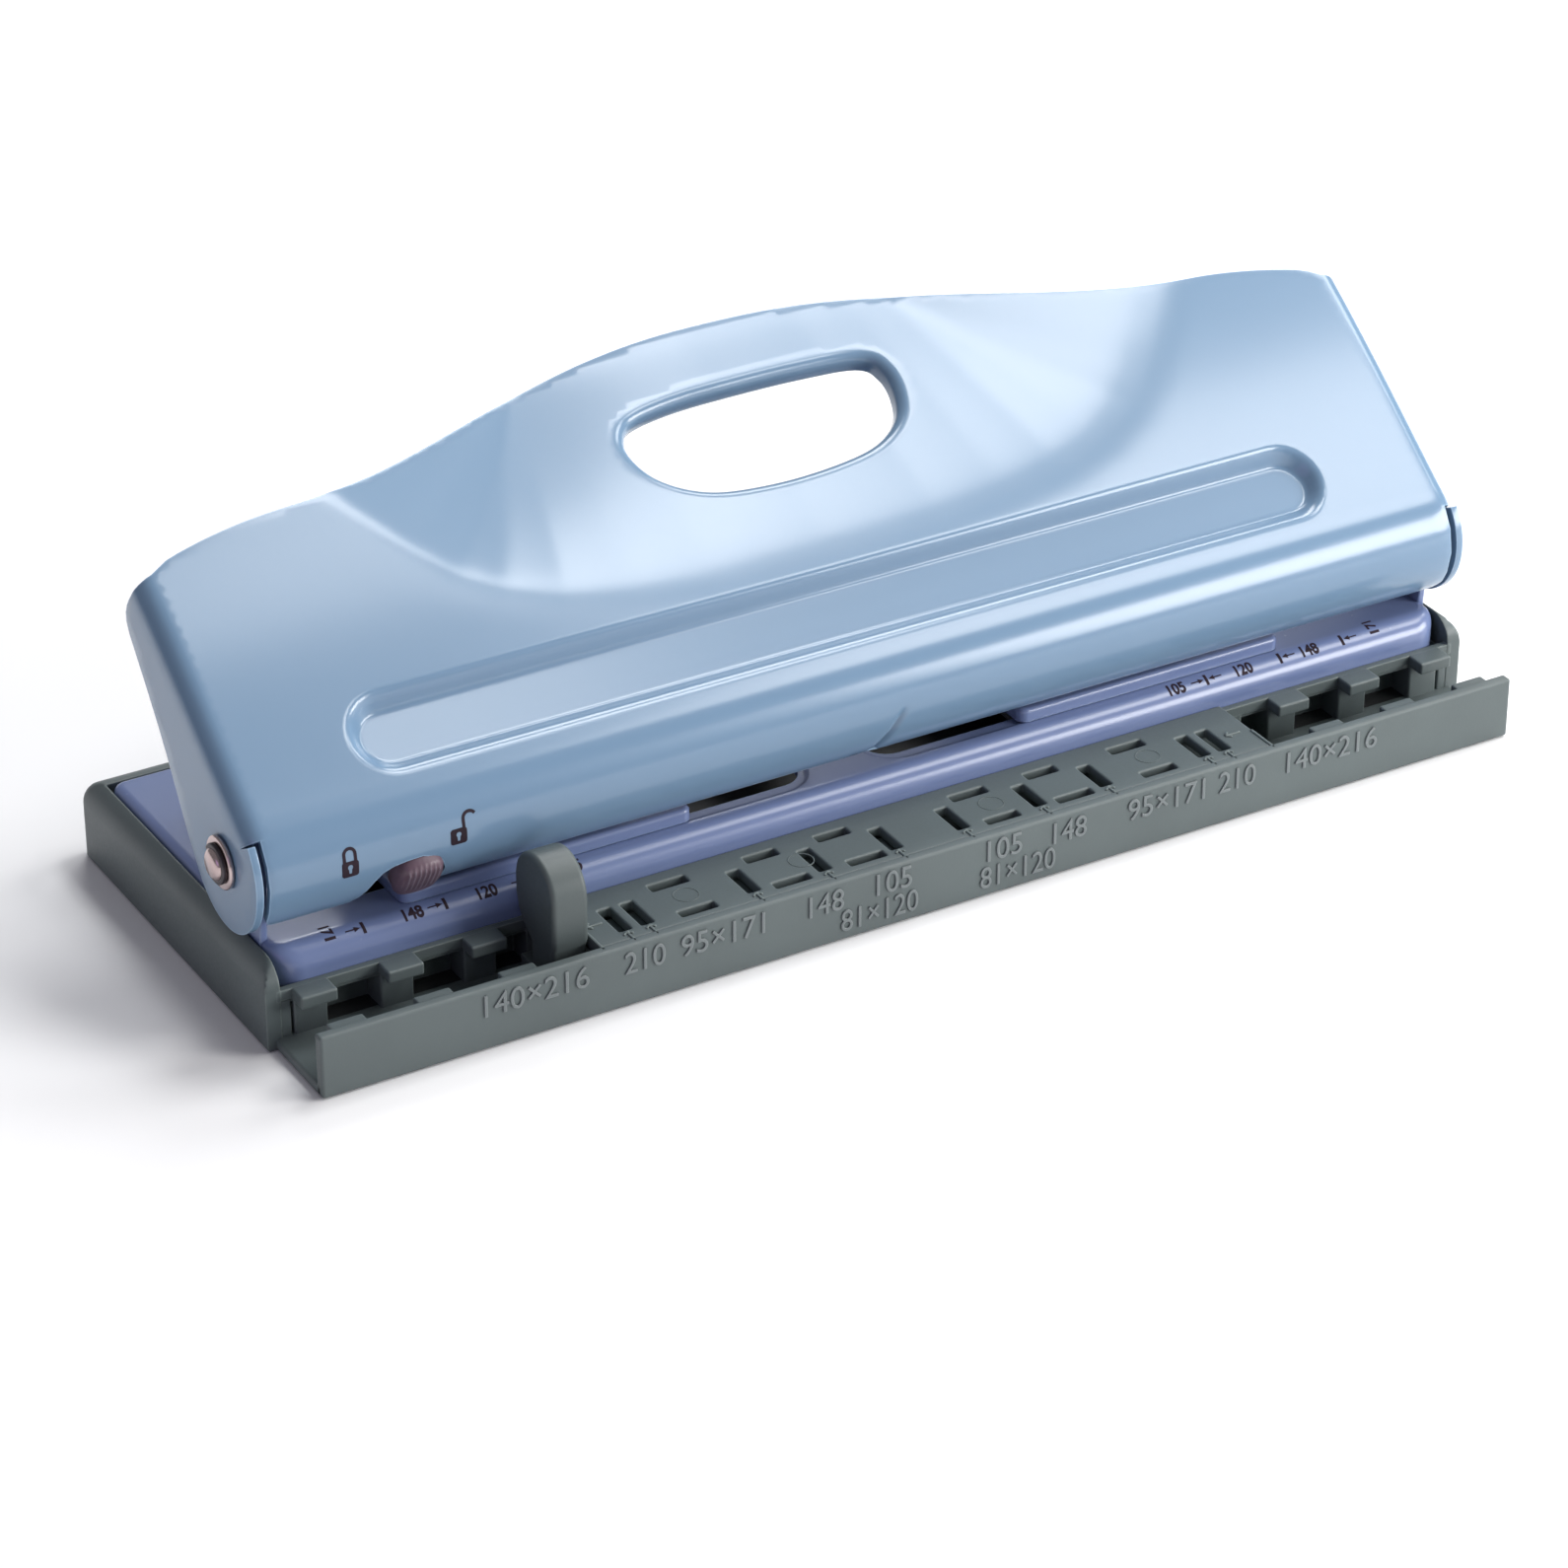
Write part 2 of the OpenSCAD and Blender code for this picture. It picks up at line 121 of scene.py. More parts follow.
def finish_piece(mesh, name, body, material, replaces=(), shaded=True):
    """Object with smooth shading that breaks at sharp edges, its material, and its place in the frame."""
    obj = new_object(name, mesh)
    if shaded:
        mesh.shade_smooth()
        edited(mesh, mark_sharp)
    mesh.materials.append(material)
    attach(obj, body)
    if replaces:
        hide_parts(*replaces)
    return obj


def make(name, verts, faces, body, slot, material, replaces=(), shaded=True, doubles=1e-6):
    """Piece made straight from its vertices and faces."""
    mesh = bpy.data.meshes.new(name)
    mesh.from_pydata([tuple(v) for v in verts], [], [tuple(f) for f in faces])

    def clean(bm):
        if doubles:
            bmesh.ops.remove_doubles(bm, verts=bm.verts, dist=doubles)
        bmesh.ops.dissolve_degenerate(bm, edges=bm.edges, dist=1e-8)
        face_outwards(bm)

    edited(mesh, clean)
    return finish_piece(mesh, name, body, material, replaces, shaded)


def with_modifiers(mesh, *modifiers):
    """The mesh as it is after its modifiers, each given as its type and its settings."""
    obj = new_object("tmp", mesh)
    for kind, settings in modifiers:
        modifier = obj.modifiers.new(kind, kind)
        for key, value in settings.items():
            setattr(modifier, key, value)
    deps = bpy.context.evaluated_depsgraph_get()
    mesh = bpy.data.meshes.new_from_object(obj.evaluated_get(deps))
    bpy.data.objects.remove(obj)
    return mesh


def bevel(width, segments, angle):
    return "BEVEL", {"width": width * MM, "segments": segments, "limit_method": "ANGLE",
                     "angle_limit": math.radians(angle)}


def bevelled(name, solids, width, body, slot, material, replaces=(), segments=2, angle=30):
    """Closed solids (verts, faces) joined in one object and rounded along their edges; width in mm."""
    verts, faces = [], []
    for solid in solids:
        join(verts, faces, *solid)
    mesh = bpy.data.meshes.new(name)
    mesh.from_pydata(verts, [], faces)
    edited(mesh, face_outwards)
    mesh = with_modifiers(mesh, bevel(width, segments, angle))
    return flat_faces(finish_piece(mesh, name, body, material, replaces))


def sheet_piece(name, verts, faces, edge_width, segments, body, material, replaces):
    """Piece of sheet metal: an open surface, thickened away from its upper side and rounded at its edges."""
    mesh = bpy.data.meshes.new(name)
    mesh.from_pydata([tuple(v) for v in verts], [], faces)

    def face_up(bm):
        bmesh.ops.remove_doubles(bm, verts=bm.verts, dist=2e-5)
        face_outwards(bm)
        if sum(f.normal.z * f.calc_area() for f in bm.faces) < 0:
            bmesh.ops.reverse_faces(bm, faces=bm.faces)

    edited(mesh, face_up)
    thicken = "SOLIDIFY", {"thickness": SHEET * MM, "offset": -1, "use_even_offset": True}
    mesh = with_modifiers(mesh, thicken, bevel(edge_width, segments, 60))
    return finish_piece(mesh, name, body, material, replaces)


def flat_faces(obj, limit=50):
    """Corner normals weighted by face area, so that flat faces stay flat beside narrow rounded edges."""
    mesh = obj.data
    near = math.cos(math.radians(limit))
    unit = [p.normal.copy() for p in mesh.polygons]
    heavy = [p.normal * p.area for p in mesh.polygons]
    around = [[] for _ in mesh.vertices]
    for p in mesh.polygons:
        for v in p.vertices:
            around[v].append(p.index)
    normals = [None] * len(mesh.loops)
    for p in mesh.polygons:
        n = unit[p.index]
        for loop, v in zip(p.loop_indices, p.vertices):
            total = Vector()
            for q in around[v]:
                if unit[q].dot(n) > near:
                    total += heavy[q]
            normals[loop] = total.normalized() if total.length else n
    mesh.normals_split_custom_set(normals)
    return obj


def box_solid(x, y, z):
    """Box between the two ends given for each direction."""
    v = [P(a, b, c) for c in z for b in y for a in x]
    return v, [(0, 2, 3, 1), (4, 5, 7, 6), (0, 1, 5, 4), (2, 6, 7, 3), (0, 4, 6, 2), (1, 3, 7, 5)]


def prism(outline, place, ends):
    """Closed prism; place(a, b, end) puts a point of the outline at one of the two ends."""
    n = len(outline)
    v = [place(a, b, end) for end in ends for a, b in outline]
    return v, [tuple(range(n - 1, -1, -1)), tuple(range(n, 2 * n)), *quads(2, n, True)]


def prism_x(x0, x1, outline):
    """Outline in (y, z), extruded along x."""
    return prism(outline, lambda y, z, x: P(x, y, z), (x0, x1))


def arc(cx, cy, r, a0, a1, n):
    """Points round a centre, with both ends; angles in degrees."""
    return [(cx + r * math.cos(math.radians(a0 + (a1 - a0) * i / n)),
             cy + r * math.sin(math.radians(a0 + (a1 - a0) * i / n))) for i in range(n + 1)]


def rounded(points, radii, n=6):
    """Polygon with rounded corners."""
    out = []
    m = len(points)
    for i, (p, r) in enumerate(zip(points, radii)):
        p = np.array(p, float)
        a = np.array(points[i - 1], float) - p
        b = np.array(points[(i + 1) % m], float) - p
        a /= np.linalg.norm(a)
        b /= np.linalg.norm(b)
        half = math.acos(max(-1, min(1, a @ b))) / 2
        t = r / math.tan(half)
        c = p + (a + b) / np.linalg.norm(a + b) * r / math.sin(half)
        u, w = p + a * t - c, p + b * t - c
        ang = math.acos(max(-1, min(1, u @ w / r / r)))
        for k in range(n + 1):
            s = k / n
            q = (math.sin((1 - s) * ang) * u + math.sin(s * ang) * w) / math.sin(ang)
            out.append(tuple(c + q))
    return out


# ---- materials ----


def new_material(name):
    m = bpy.data.materials.new(name)
    m.use_nodes = True
    return m, m.node_tree.nodes, m.node_tree.links, m.node_tree.nodes["Principled BSDF"]


def noise(nodes, links, scale, detail, rough=0.5, stretch=None):
    coord = nodes.new("ShaderNodeTexCoord").outputs["Object"]
    tex = nodes.new("ShaderNodeTexNoise")
    tex.inputs["Scale"].default_value = scale
    tex.inputs["Detail"].default_value = detail
    tex.inputs["Roughness"].default_value = rough
    if stretch:
        mapping = nodes.new("ShaderNodeMapping")
        mapping.inputs["Scale"].default_value = stretch
        links.new(coord, mapping.inputs["Vector"])
        coord = mapping.outputs["Vector"]
    links.new(coord, tex.inputs["Vector"])
    return tex.outputs["Fac"]


def ramp(nodes, links, fac, stops):
    """Colour ramp; a stop is a place and a colour or a grey value."""
    r = nodes.new("ShaderNodeValToRGB")
    for e, (pos, col) in zip(r.color_ramp.elements, stops):
        e.position = pos
        e.color = (*col, 1) if isinstance(col, tuple) else (col, col, col, 1)
    links.new(fac, r.inputs["Fac"])
    return r.outputs["Color"]


def rounding(nodes, radius):
    """Normal that is rounded along the edges."""
    edge = nodes.new("ShaderNodeBevel")
    edge.samples = 4
    edge.inputs["Radius"].default_value = radius
    return edge.outputs["Normal"]


def painted_edge_highlight(nodes, links, colour, edge):
    """Painted highlight: mixes in the lighter edge colour where the rounded normal leans from the true one.
    """
    geo = nodes.new("ShaderNodeNewGeometry")
    dot = nodes.new("ShaderNodeVectorMath")
    dot.operation = "DOT_PRODUCT"
    links.new(rounding(nodes, EDGE_HIGHLIGHT_RADIUS), dot.inputs[0])
    links.new(geo.outputs["Normal"], dot.inputs[1])
    mask = ramp(nodes, links, dot.outputs["Value"], [(0.86, 1), (0.985, 0)])
    m = nodes.new("ShaderNodeMix")
    m.data_type = "RGBA"
    links.new(mask, m.inputs["Factor"])
    links.new(colour, m.inputs["A"])
    m.inputs["B"].default_value = (*edge, 1)
    return m.outputs["Result"]


def surface(name, colour, variation, rough, scale, grain, bump=0.15, edge=None, radius=0.0, metallic=0.0,
            stretch=None, coat=0.0, coat_rough=0.1, spec=0.5, rough_swing=0.06):
    """Material with a slow random change of tone, a fine grain, and a painted highlight along the edges;
    radius rounds the edges.
    """
    m, nodes, links, bsdf = new_material(name)
    broad = noise(nodes, links, scale, 5, 0.55, stretch)
    dark = tuple(c * (1 - variation) for c in colour)
    light = tuple(c * (1 + variation) for c in colour)
    col = ramp(nodes, links, broad, [(0.3, dark), (0.7, light)])
    # painted highlight: a lighter colour mixed in along the edges
    if edge:
        col = painted_edge_highlight(nodes, links, col, edge)
    links.new(col, bsdf.inputs["Base Color"])
    fine = noise(nodes, links, grain, 3, 0.6, stretch)
    gloss = ramp(nodes, links, fine, [(0.25, rough - rough_swing), (0.75, rough + rough_swing)])
    links.new(gloss, bsdf.inputs["Roughness"])
    relief = nodes.new("ShaderNodeBump")
    relief.inputs["Strength"].default_value = bump
    relief.inputs["Distance"].default_value = BUMP_DISTANCE
    links.new(fine, relief.inputs["Height"])
    if radius:
        links.new(rounding(nodes, radius), relief.inputs["Normal"])
    links.new(relief.outputs["Normal"], bsdf.inputs["Normal"])
    bsdf.inputs["Metallic"].default_value = metallic
    bsdf.inputs["Specular IOR Level"].default_value = spec
    bsdf.inputs["Coat Weight"].default_value = coat
    bsdf.inputs["Coat Roughness"].default_value = coat_rough
    return m


# in metres: width of the painted edge highlight, and depth of the grain
EDGE_HIGHLIGHT_RADIUS, BUMP_DISTANCE = 0.0004, 0.00004
PAINT = {"scale": 30, "grain": 900}
PLASTIC = {"scale": 45, "grain": 2600}
# the edge colours below are painted highlights along the edges
MAT = {
    "handle": surface("handle_paint", (0.155, 0.252, 0.37), 0.012, 0.22, **PAINT, bump=0.012,
                      edge=(0.32, 0.47, 0.64), coat=0.25, coat_rough=0.14, rough_swing=0.012),
    # the bed's paint is the handle's blue tinted towards mauve: painted shade, as the bed lies in the
    # handle's shadow
    "bed": surface("bed_paint", (0.16, 0.212, 0.385), 0.015, 0.26, **PAINT, bump=0.015, rough_swing=0.015,
                   edge=(0.42, 0.56, 0.78), radius=0.0004, coat=0.3, coat_rough=0.16),
    "tray": surface("tray_plastic", (0.095, 0.119, 0.12), 0.08, 0.47, **PLASTIC, bump=0.35,
                    edge=(0.2, 0.24, 0.23), radius=0.0004),
    # near-black floor inside the tray, under the bed: painted shade
    "floor": surface("floor_painted_shade", (0.016, 0.018, 0.019), 0.1, 0.6, **PLASTIC, bump=0.3,
                     edge=(0.06, 0.07, 0.07), radius=0.0004),
    "numeral": surface("numeral_plastic", (0.15, 0.174, 0.178), 0.06, 0.42, **PLASTIC, bump=0.2,
                       edge=(0.2, 0.22, 0.225), radius=0.0002),
    "guide": surface("guide_plastic", (0.08, 0.1, 0.1), 0.08, 0.45, **PLASTIC, bump=0.3,
                     edge=(0.21, 0.25, 0.24), radius=0.0004),
    "lock": surface("lock_plastic", (0.12, 0.075, 0.1), 0.08, 0.42, 60, 2200, 0.25,
                    (0.36, 0.32, 0.38), 0.0003),
    "nylon": surface("white_nylon", (0.72, 0.71, 0.68), 0.04, 0.5, 60, 2000),
    "pivot": surface("pivot_steel", (0.56, 0.44, 0.43), 0.08, 0.22, 200, 1800, 0.2,
                     (0.85, 0.78, 0.78), 0.0002, metallic=1.0),
    "clip": surface("dark_steel", (0.06, 0.05, 0.055), 0.15, 0.38, 150, 1600, 0.25,
                    (0.2, 0.18, 0.19), 0.0002, metallic=0.8),
    "zinc": surface("zinc_plate", (0.5, 0.51, 0.54), 0.1, 0.34, 120, 1500, 0.2, (0.7, 0.7, 0.72), 0.0003,
                    metallic=1.0, stretch=(1, 6, 6)),
    "spring": surface("spring_wire", (0.6, 0.61, 0.63), 0.08, 0.25, 300, 2500, metallic=1.0),
    "punch": surface("ground_steel", (0.68, 0.69, 0.71), 0.06, 0.2, 200, 1400, edge=(0.85, 0.85, 0.87),
                     radius=0.0002, metallic=1.0, stretch=(4, 4, 1)),
    "ink": surface("dark_ink", (0.022, 0.012, 0.02), 0.2, 0.6, 150, 2600, 0.1, spec=0.2),
}

SLOT_MATERIAL = {"handle_paint": "handle", "bed_paint": "bed", "tray_plastic": "tray",
                 "guide_plastic": "guide", "lock_plastic": "lock", "white_plastic": "nylon",
                 "pivot_steel": "pivot", "dark_steel": "clip", "zinc_steel": "zinc",
                 "spring_steel": "spring", "punch_steel": "punch"}
for part in frame["record"]["subparts"]:
    node = frame["nodes"][part["node"]]
    if not node.material_slots:
        node.data.materials.append(None)
    for place in node.material_slots:
        place.material = MAT[SLOT_MATERIAL[part["material_slot"]]]

# ---- filling a flat domain with even triangles ----


def inside(points, loop):
    """Which points lie inside a closed loop."""
    x, y = points[:, 0], points[:, 1]
    result = np.zeros(len(points), bool)
    for (x0, y0), (x1, y1) in zip(loop, np.roll(loop, -1, 0)):
        cross = (y0 > y) != (y1 > y)
        with np.errstate(divide="ignore", invalid="ignore"):
            at = x0 + (y - y0) * (x1 - x0) / (y1 - y0)
        result ^= cross & (x < at)
    return result


def loop_distance(points, loop, closed=True):
    """How far each point is from a loop, or from an open line."""
    a = np.asarray(loop, float)
    b = np.roll(a, -1, 0)
    if not closed:
        a, b = a[:-1], b[:-1]
    best = np.full(len(points), 1e9)
    for p, q in zip(a, b):
        d = q - p
        t = np.clip(((points - p) @ d) / max(d @ d, 1e-12), 0, 1)
        best = np.minimum(best, np.hypot(*(points - p - t[:, None] * d).T))
    return best


def spline(points, n):
    """Smooth closed curve through the points."""
    p = np.asarray(points, float)
    out = []
    for i in range(len(p)):
        a, b, c, d = p[i - 1], p[i], p[(i + 1) % len(p)], p[(i + 2) % len(p)]
        for k in range(n):
            t = k / n
            out.append(0.5 * (2 * b + (c - a) * t + (2 * a - 5 * b + 4 * c - d) * t * t
                              + (3 * b - a - 3 * c + d) * t ** 3))
    return np.array(out)


def offset_loop(loop, dist):
    """Moves a smooth counter-clockwise loop outwards."""
    p = np.asarray(loop, float)
    d = np.roll(p, -1, 0) - np.roll(p, 1, 0)
    n = np.stack([d[:, 1], -d[:, 0]], 1)
    return p + dist * n / np.linalg.norm(n, axis=1)[:, None]


def fill(outer, holes=(), guides=(), step=None, avoid=None):
    """Triangulates the domain inside outer and outside the holes; guides are loops kept as edges.
    step sets the spacing of the points added inside, and avoid says which of them to leave out."""
    loops = [np.asarray(loop, float) for loop in [outer, *holes, *guides]]
    outer, holes = loops[0], loops[1:1 + len(holes)]

    def allowed(points):
        keep = inside(points, outer)
        for hole in holes:
            keep &= ~inside(points, hole)
        return keep

    points = np.zeros((0, 2))
    if step:
        low, high = outer.min(0), outer.max(0)
        gx, gy = np.meshgrid(np.arange(low[0] + step[0] / 2, high[0], step[0]),
                             np.arange(low[1] + step[1] / 2, high[1], step[1]))
        gx[1::2] += step[0] / 2
        points = np.stack([gx.ravel(), gy.ravel()], 1)
        points = points[allowed(points)]
        for loop in loops:
            points = points[loop_distance(points, loop) > 0.55 * min(step)]
    if avoid is not None:
        points = points[~avoid(points)]
    coords, edges = [], []
    for loop in loops:
        base = len(coords)
        coords += [Vector(p) for p in loop]
        edges += [(base + i, base + (i + 1) % len(loop)) for i in range(len(loop))]
    coords += [Vector(p) for p in points]
    verts, _, faces, *_ = geometry.delaunay_2d_cdt(coords, edges, [], 0, 1e-6)
    verts = np.array([tuple(p) for p in verts])
    faces = np.array([f for f in faces if len(f) == 3])
    return verts, faces[allowed(verts[faces].mean(1))]


def smooth(t):
    """Soft step from 0 to 1."""
    t = np.clip(t, 0, 1)
    return t * t * (3 - 2 * t)


# ---- handle ----

# the handle's sheet is measured by x and by s, which runs up the plate when positive and down round the
# front roll when negative
SLOPE = math.radians(36)
ROLL, SHEET = 11.1, 1.2
BOW, BOW_END = 0.75, 62
BEND_X, BEND_R = 104.5, 3.0
ROLL_END = 105.3
SLIT_S = -2.7
LIP_S = -ROLL * math.radians(97.4)
GRIP_X, GRIP_RISE, GRIP_REACH = 1.2, 15.1, 80
RECESS_X, RECESS_S, RECESS_R = 79.8, 8.2, 7.1
CREASE_TOP = 0.9
# front edge of the grip's scoop, and the edge of its hole, as (x, s)
CREASE = [(-100, 86.5), (-73, 47.5), (-69, 42), (-64, 35.5), (-59, 30), (-53, 26), (-44, 22.6),
          (-33, 20.6), (-20, 19.2), (0, 18.7), (20, 19.2), (33, 20.6), (44, 22.6), (53, 26), (59, 30),
          (64, 35.5), (69, 42), (73, 47.5), (100, 86.5)]
HOLE = [(0.5, 32.2), (11, 32.9), (17.9, 34.6), (23.0, 38.2), (25.3, 42.8), (25.6, 47.4), (23.2, 50.4),
        (13, 51.3), (0, 51.4), (-10.5, 51.0), (-18, 49.6), (-21, 46.6), (-21.4, 42.8), (-19.6, 38.4),
        (-15.3, 34.8), (-9.5, 32.9)]


def rear(x):
    """Rear edge of the sheet for a place along the handle; beyond BEND_X it runs on over the side bend."""
    from_grip = np.minimum(np.abs(x - GRIP_X) / GRIP_REACH, 1)
    x = np.abs(x)
    flat = np.minimum(x, BEND_X)
    hump = GRIP_RISE * (1 + np.cos(np.pi * from_grip ** 1.25)) / 2
    corner = 0.0055 * np.maximum(0, flat - 81) ** 2
    return 49.4 - 0.00034 * flat * flat + hump - corner - 1.75 * smooth((x - 100.5) / 8.7)


def plate(x, v, w):
    """Point from the handle plate's own frame: v up the slope and w out of it, both from the hinge axis."""
    return P(x, PIVOT_Y + v * math.cos(SLOPE) - w * math.sin(SLOPE),
             PIVOT_Z + v * math.sin(SLOPE) + w * math.cos(SLOPE))


def dish(x, s):
    """How far the grip's scoop lies below the plate."""
    pts = np.stack([x, s], 1)
    line = np.array(CREASE, float)
    d = loop_distance(pts, line, closed=False)
    d = np.where(inside(pts, line), d, -d)
    soft = np.where(x < 0, 1.4 + 0.055 * np.maximum(0, 75 + x), 5.5)
    slope = 0.19 + 0.035 * smooth(-x / 40)
    return -slope * (np.sqrt(d * d + soft * soft) + d) / 2 * smooth((d + 9) / 9)


def ease(t, a, b):
    """Ramp from 0 to 1 with a straight middle; a and b are the shares of its soft start and end."""
    t = np.clip(t, 0, 1)
    whole = 1 - a / 2 - b / 2
    y = np.where(t < a, t * t / (2 * a), np.where(t < 1 - b, t - a / 2, whole - (1 - t) ** 2 / (2 * b)))
    return y / whole


def recess_radius(x, s):
    """Distance from the middle line of the long recess."""
    return np.hypot(np.maximum(np.abs(x) - RECESS_X, 0), s - RECESS_S)


def recess(x, s):
    """Height of the long recess above the plate, which is negative; its floor falls away up the plate."""
    return -(2.3 + 0.085 * (s - RECESS_S)) * ease((RECESS_R - recess_radius(x, s)) / 3.3, 0.5, 0.3)


def crease_x(phi):
    """Where the crease in the lip runs, for an angle down round the roll."""
    return 2.2 - 4.5 * np.clip((phi - CREASE_TOP) / 0.8, 0, 1)


def lip_crease(x, s):
    """Short slanting crease that runs from the middle of the front lip up the roll."""
    phi = -s / ROLL
    return -0.62 * np.exp(-((x - crease_x(phi)) / 0.55) ** 2) * smooth((phi - CREASE_TOP) / 0.2)


def crease_loop(width):
    """Narrow loop round the crease in the lip."""
    phi = np.linspace(0.82, 1.66, 13)
    ways = [np.stack([crease_x(phi) + side * width, -phi * ROLL], 1) for side in (-1, 1)]
    return np.concatenate([ways[0], ways[1][::-1]])


def section(s, h):
    """Place of s in the handle's side view, h outside the sheet: up the plate, and out of the plate."""
    phi = np.pi / 2 + np.maximum(-s, 0) / ROLL
    r = ROLL + BOW * np.sin(np.pi * np.clip(s, 0, BOW_END) / BOW_END) ** 1.4 + h
    return np.maximum(s, 0) + np.cos(phi) * r, np.sin(phi) * r


def shell(x, s, h):
    """Point of the handle's sheet, h outside it."""
    return plate(x, *section(np.asarray(s, float), h))


def handle_outline():
    """Edge of the sheet between the two side bends, with the notch for the lock in its lip."""
    top = [(x, rear(x)) for x in np.arange(102.5, -103, -2.0)]
    side = [(BEND_X, s) for s in SIDE_S]
    notch = [(-76.5, 0), (-76.5, 2.9), (-77.2, 4.9), (-78.6, 6.2), (-80.6, 6.9), (-83, 6.8),
             (-85.3, 6.5), (-87, 5.8), (-88.3, 4.4), (-89.3, 2.6), (-90.3, 1.1), (-91.6, 0)]
    notch = [(x, LIP_S + h) for x, h in notch]
    right = [(ROLL_END, SLIT_S - down) for down in (0, 4, 8, 12)]
    right += [(ROLL_END - 2 + 2 * math.cos(a), LIP_S + 2 - 2 * math.sin(a))
              for a in np.linspace(0, np.pi / 2, 6)]
    left = [(-x, s) for x, s in reversed(right)]
    lip_a = [(x, LIP_S) for x in np.arange(101, -76, -2.0)]
    lip_b = [(x, LIP_S) for x in np.arange(-93.4, -102.5, -2.0)]
    lower = right + lip_a + notch + lip_b + left
    # counter-clockwise: up the right side, along the rear edge, down the left side, then the lip back
    return np.array(side + top + [(-BEND_X, s) for s in reversed(SIDE_S)] + list(reversed(lower)))


SIDE_F = np.linspace(0, 1, 44)


def side_line(x):
    """Places s along the side edge, from the slit over the roll to the rear edge as it is at x."""
    return SLIT_S + SIDE_F * (float(rear(x)) - SLIT_S)


SIDE_S = list(side_line(BEND_X))


def recess_loop(rho, n=14):
    """Loop round the long recess at one distance from its middle line."""
    xs = np.arange(-RECESS_X, RECESS_X + 0.1, RECESS_X / 38)
    turn = [(rho * math.cos(a), rho * math.sin(a)) for a in np.linspace(-np.pi / 2, np.pi / 2, n)[1:-1]]
    pts = [(x, RECESS_S - rho) for x in xs] + [(RECESS_X + a, RECESS_S + b) for a, b in turn]
    pts += [(x, RECESS_S + rho) for x in xs[::-1]] + [(-RECESS_X - a, RECESS_S - b) for a, b in turn]
    return np.array(pts)


def build_handle():
    hole = spline(HOLE, 7)
    rim = 2.0
    edge_loop = offset_loop(hole, rim)
    rim_height = dish(edge_loop[:, 0], edge_loop[:, 1])
    guides = [recess_loop(r) for r in (7.4, 7.0, 6.6, 6.2, 5.8, 5.3, 4.8, 4.5, 4.2, 3.95, 3.7, 3.3, 2.7)]
    guides += [crease_loop(width) for width in (0.12, 0.45, 0.85, 1.3)]

    def near_guides(p):
        rho = recess_radius(p[:, 0], p[:, 1])
        return (rho > 2.2) & (rho < 7.8) | inside(p, crease_loop(1.7))

    uv, tris = fill(handle_outline(), [edge_loop], guides, (1.5, 1.2), near_guides)
    x, s = uv[:, 0], uv[:, 1]
    verts, faces = [], []
    join(verts, faces, shell(x, s, dish(x, s) + recess(x, s) + lip_crease(x, s)), tris)

    def strip(rows, closed):
        join(verts, faces, np.concatenate(rows), quads(len(rows), len(rows[0]), closed))

    # rolled collar of the grip hole
    rows = []
    for t in np.linspace(0, np.pi / 2, 6):
        loop = offset_loop(hole, rim * (1 - math.sin(t)))
        rows.append(shell(loop[:, 0], loop[:, 1], rim_height - rim * (1 - math.cos(t))))
    rows += [shell(hole[:, 0], hole[:, 1], rim_height - depth) for depth in (2.7, 3.4)]
    strip(rows, True)

    # bends to the side flanges and the flanges themselves
    slit = math.degrees(math.pi / 2 - SLIT_S / ROLL)
    front = [(ROLL * math.cos(math.radians(a)), ROLL * math.sin(math.radians(a)))
             for a in np.arange(slit + 3, 294.1, 3.5)]
    back = [(9, -8.7), (14, -6.5), (19, -4.4), (24, -2.5), (29.4, -0.7), (34.5, 0.8), (38.1, 1.9),
            (39.7, 2.8), (40.6, 4.1), (40.95, 5.6), (41.0, 7)]
    top = list(zip(*section(side_line(BEND_X + BEND_R * math.pi / 2), -BEND_R)))
    flange = fill(front + back + top[::-1], step=(2.4, 2.4))
    for side in (1, -1):
        rows = []
        for beta in [math.pi / 2 * j / 6 for j in range(7)]:
            out = side * (BEND_X + BEND_R * math.sin(beta))
            rows.append(shell(out, side_line(BEND_X + BEND_R * beta), -BEND_R * (1 - math.cos(beta))))
        strip(rows, False)
        place = plate(side * (BEND_X + BEND_R), flange[0][:, 0], flange[0][:, 1])
        join(verts, faces, place, flange[1])
    sheet_piece("handle_cover", verts, faces, 0.42, 3, "handle", MAT["handle"],
                ["handle_shell"])


build_handle()


# ---- bed ----

BED_HALF = 104.8
BED_FRONT, BED_BACK = 16.8, 76.2
BED_ROLL, BED_SIDE = 3.7, 1.6
PANS, PAN_Y = [(-74, -9.6), (-0.4, 67)], (20.75, 57)
PAN_DEPTH, PAN_R = 0.45, 6.5
WINDOWS = [rounded([(-11.2, 23.4), (-11.2, 54), (-91.6, 54), (-91.6, 26.4), (-60, 26.4), (-60, 23.4)],
                   [4.2, 3, 3, 3, 0.8, 0.8]),
           rounded([(1, 23.4), (50, 23.4), (50, 26.4), (87.4, 26.4), (87.4, 54), (1, 54)],
                   [4.2, 0.8, 0.8, 3, 3, 3])]


def rect_loop(x0, x1, y0, y1, r, n):
    """Rectangle with rounded corners."""
    pts = []
    for cx, cy, a in ((x1 - r, y0 + r, -90), (x1 - r, y1 - r, 0), (x0 + r, y1 - r, 90),
                      (x0 + r, y0 + r, 180)):
        pts += arc(cx, cy, r, a, a + 90, n)
    return np.array(pts)


def rect_depth(x, y, x0, x1, y0, y1, r):
    """Distance inside a rounded rectangle."""
    in_x = (x1 - x0) / 2 - np.abs(x - (x0 + x1) / 2)
    in_y = (y1 - y0) / 2 - np.abs(y - (y0 + y1) / 2)
    corner = (in_x < r) & (in_y < r)
    return np.where(corner, r - np.hypot(r - in_x, r - in_y), np.minimum(in_x, in_y))


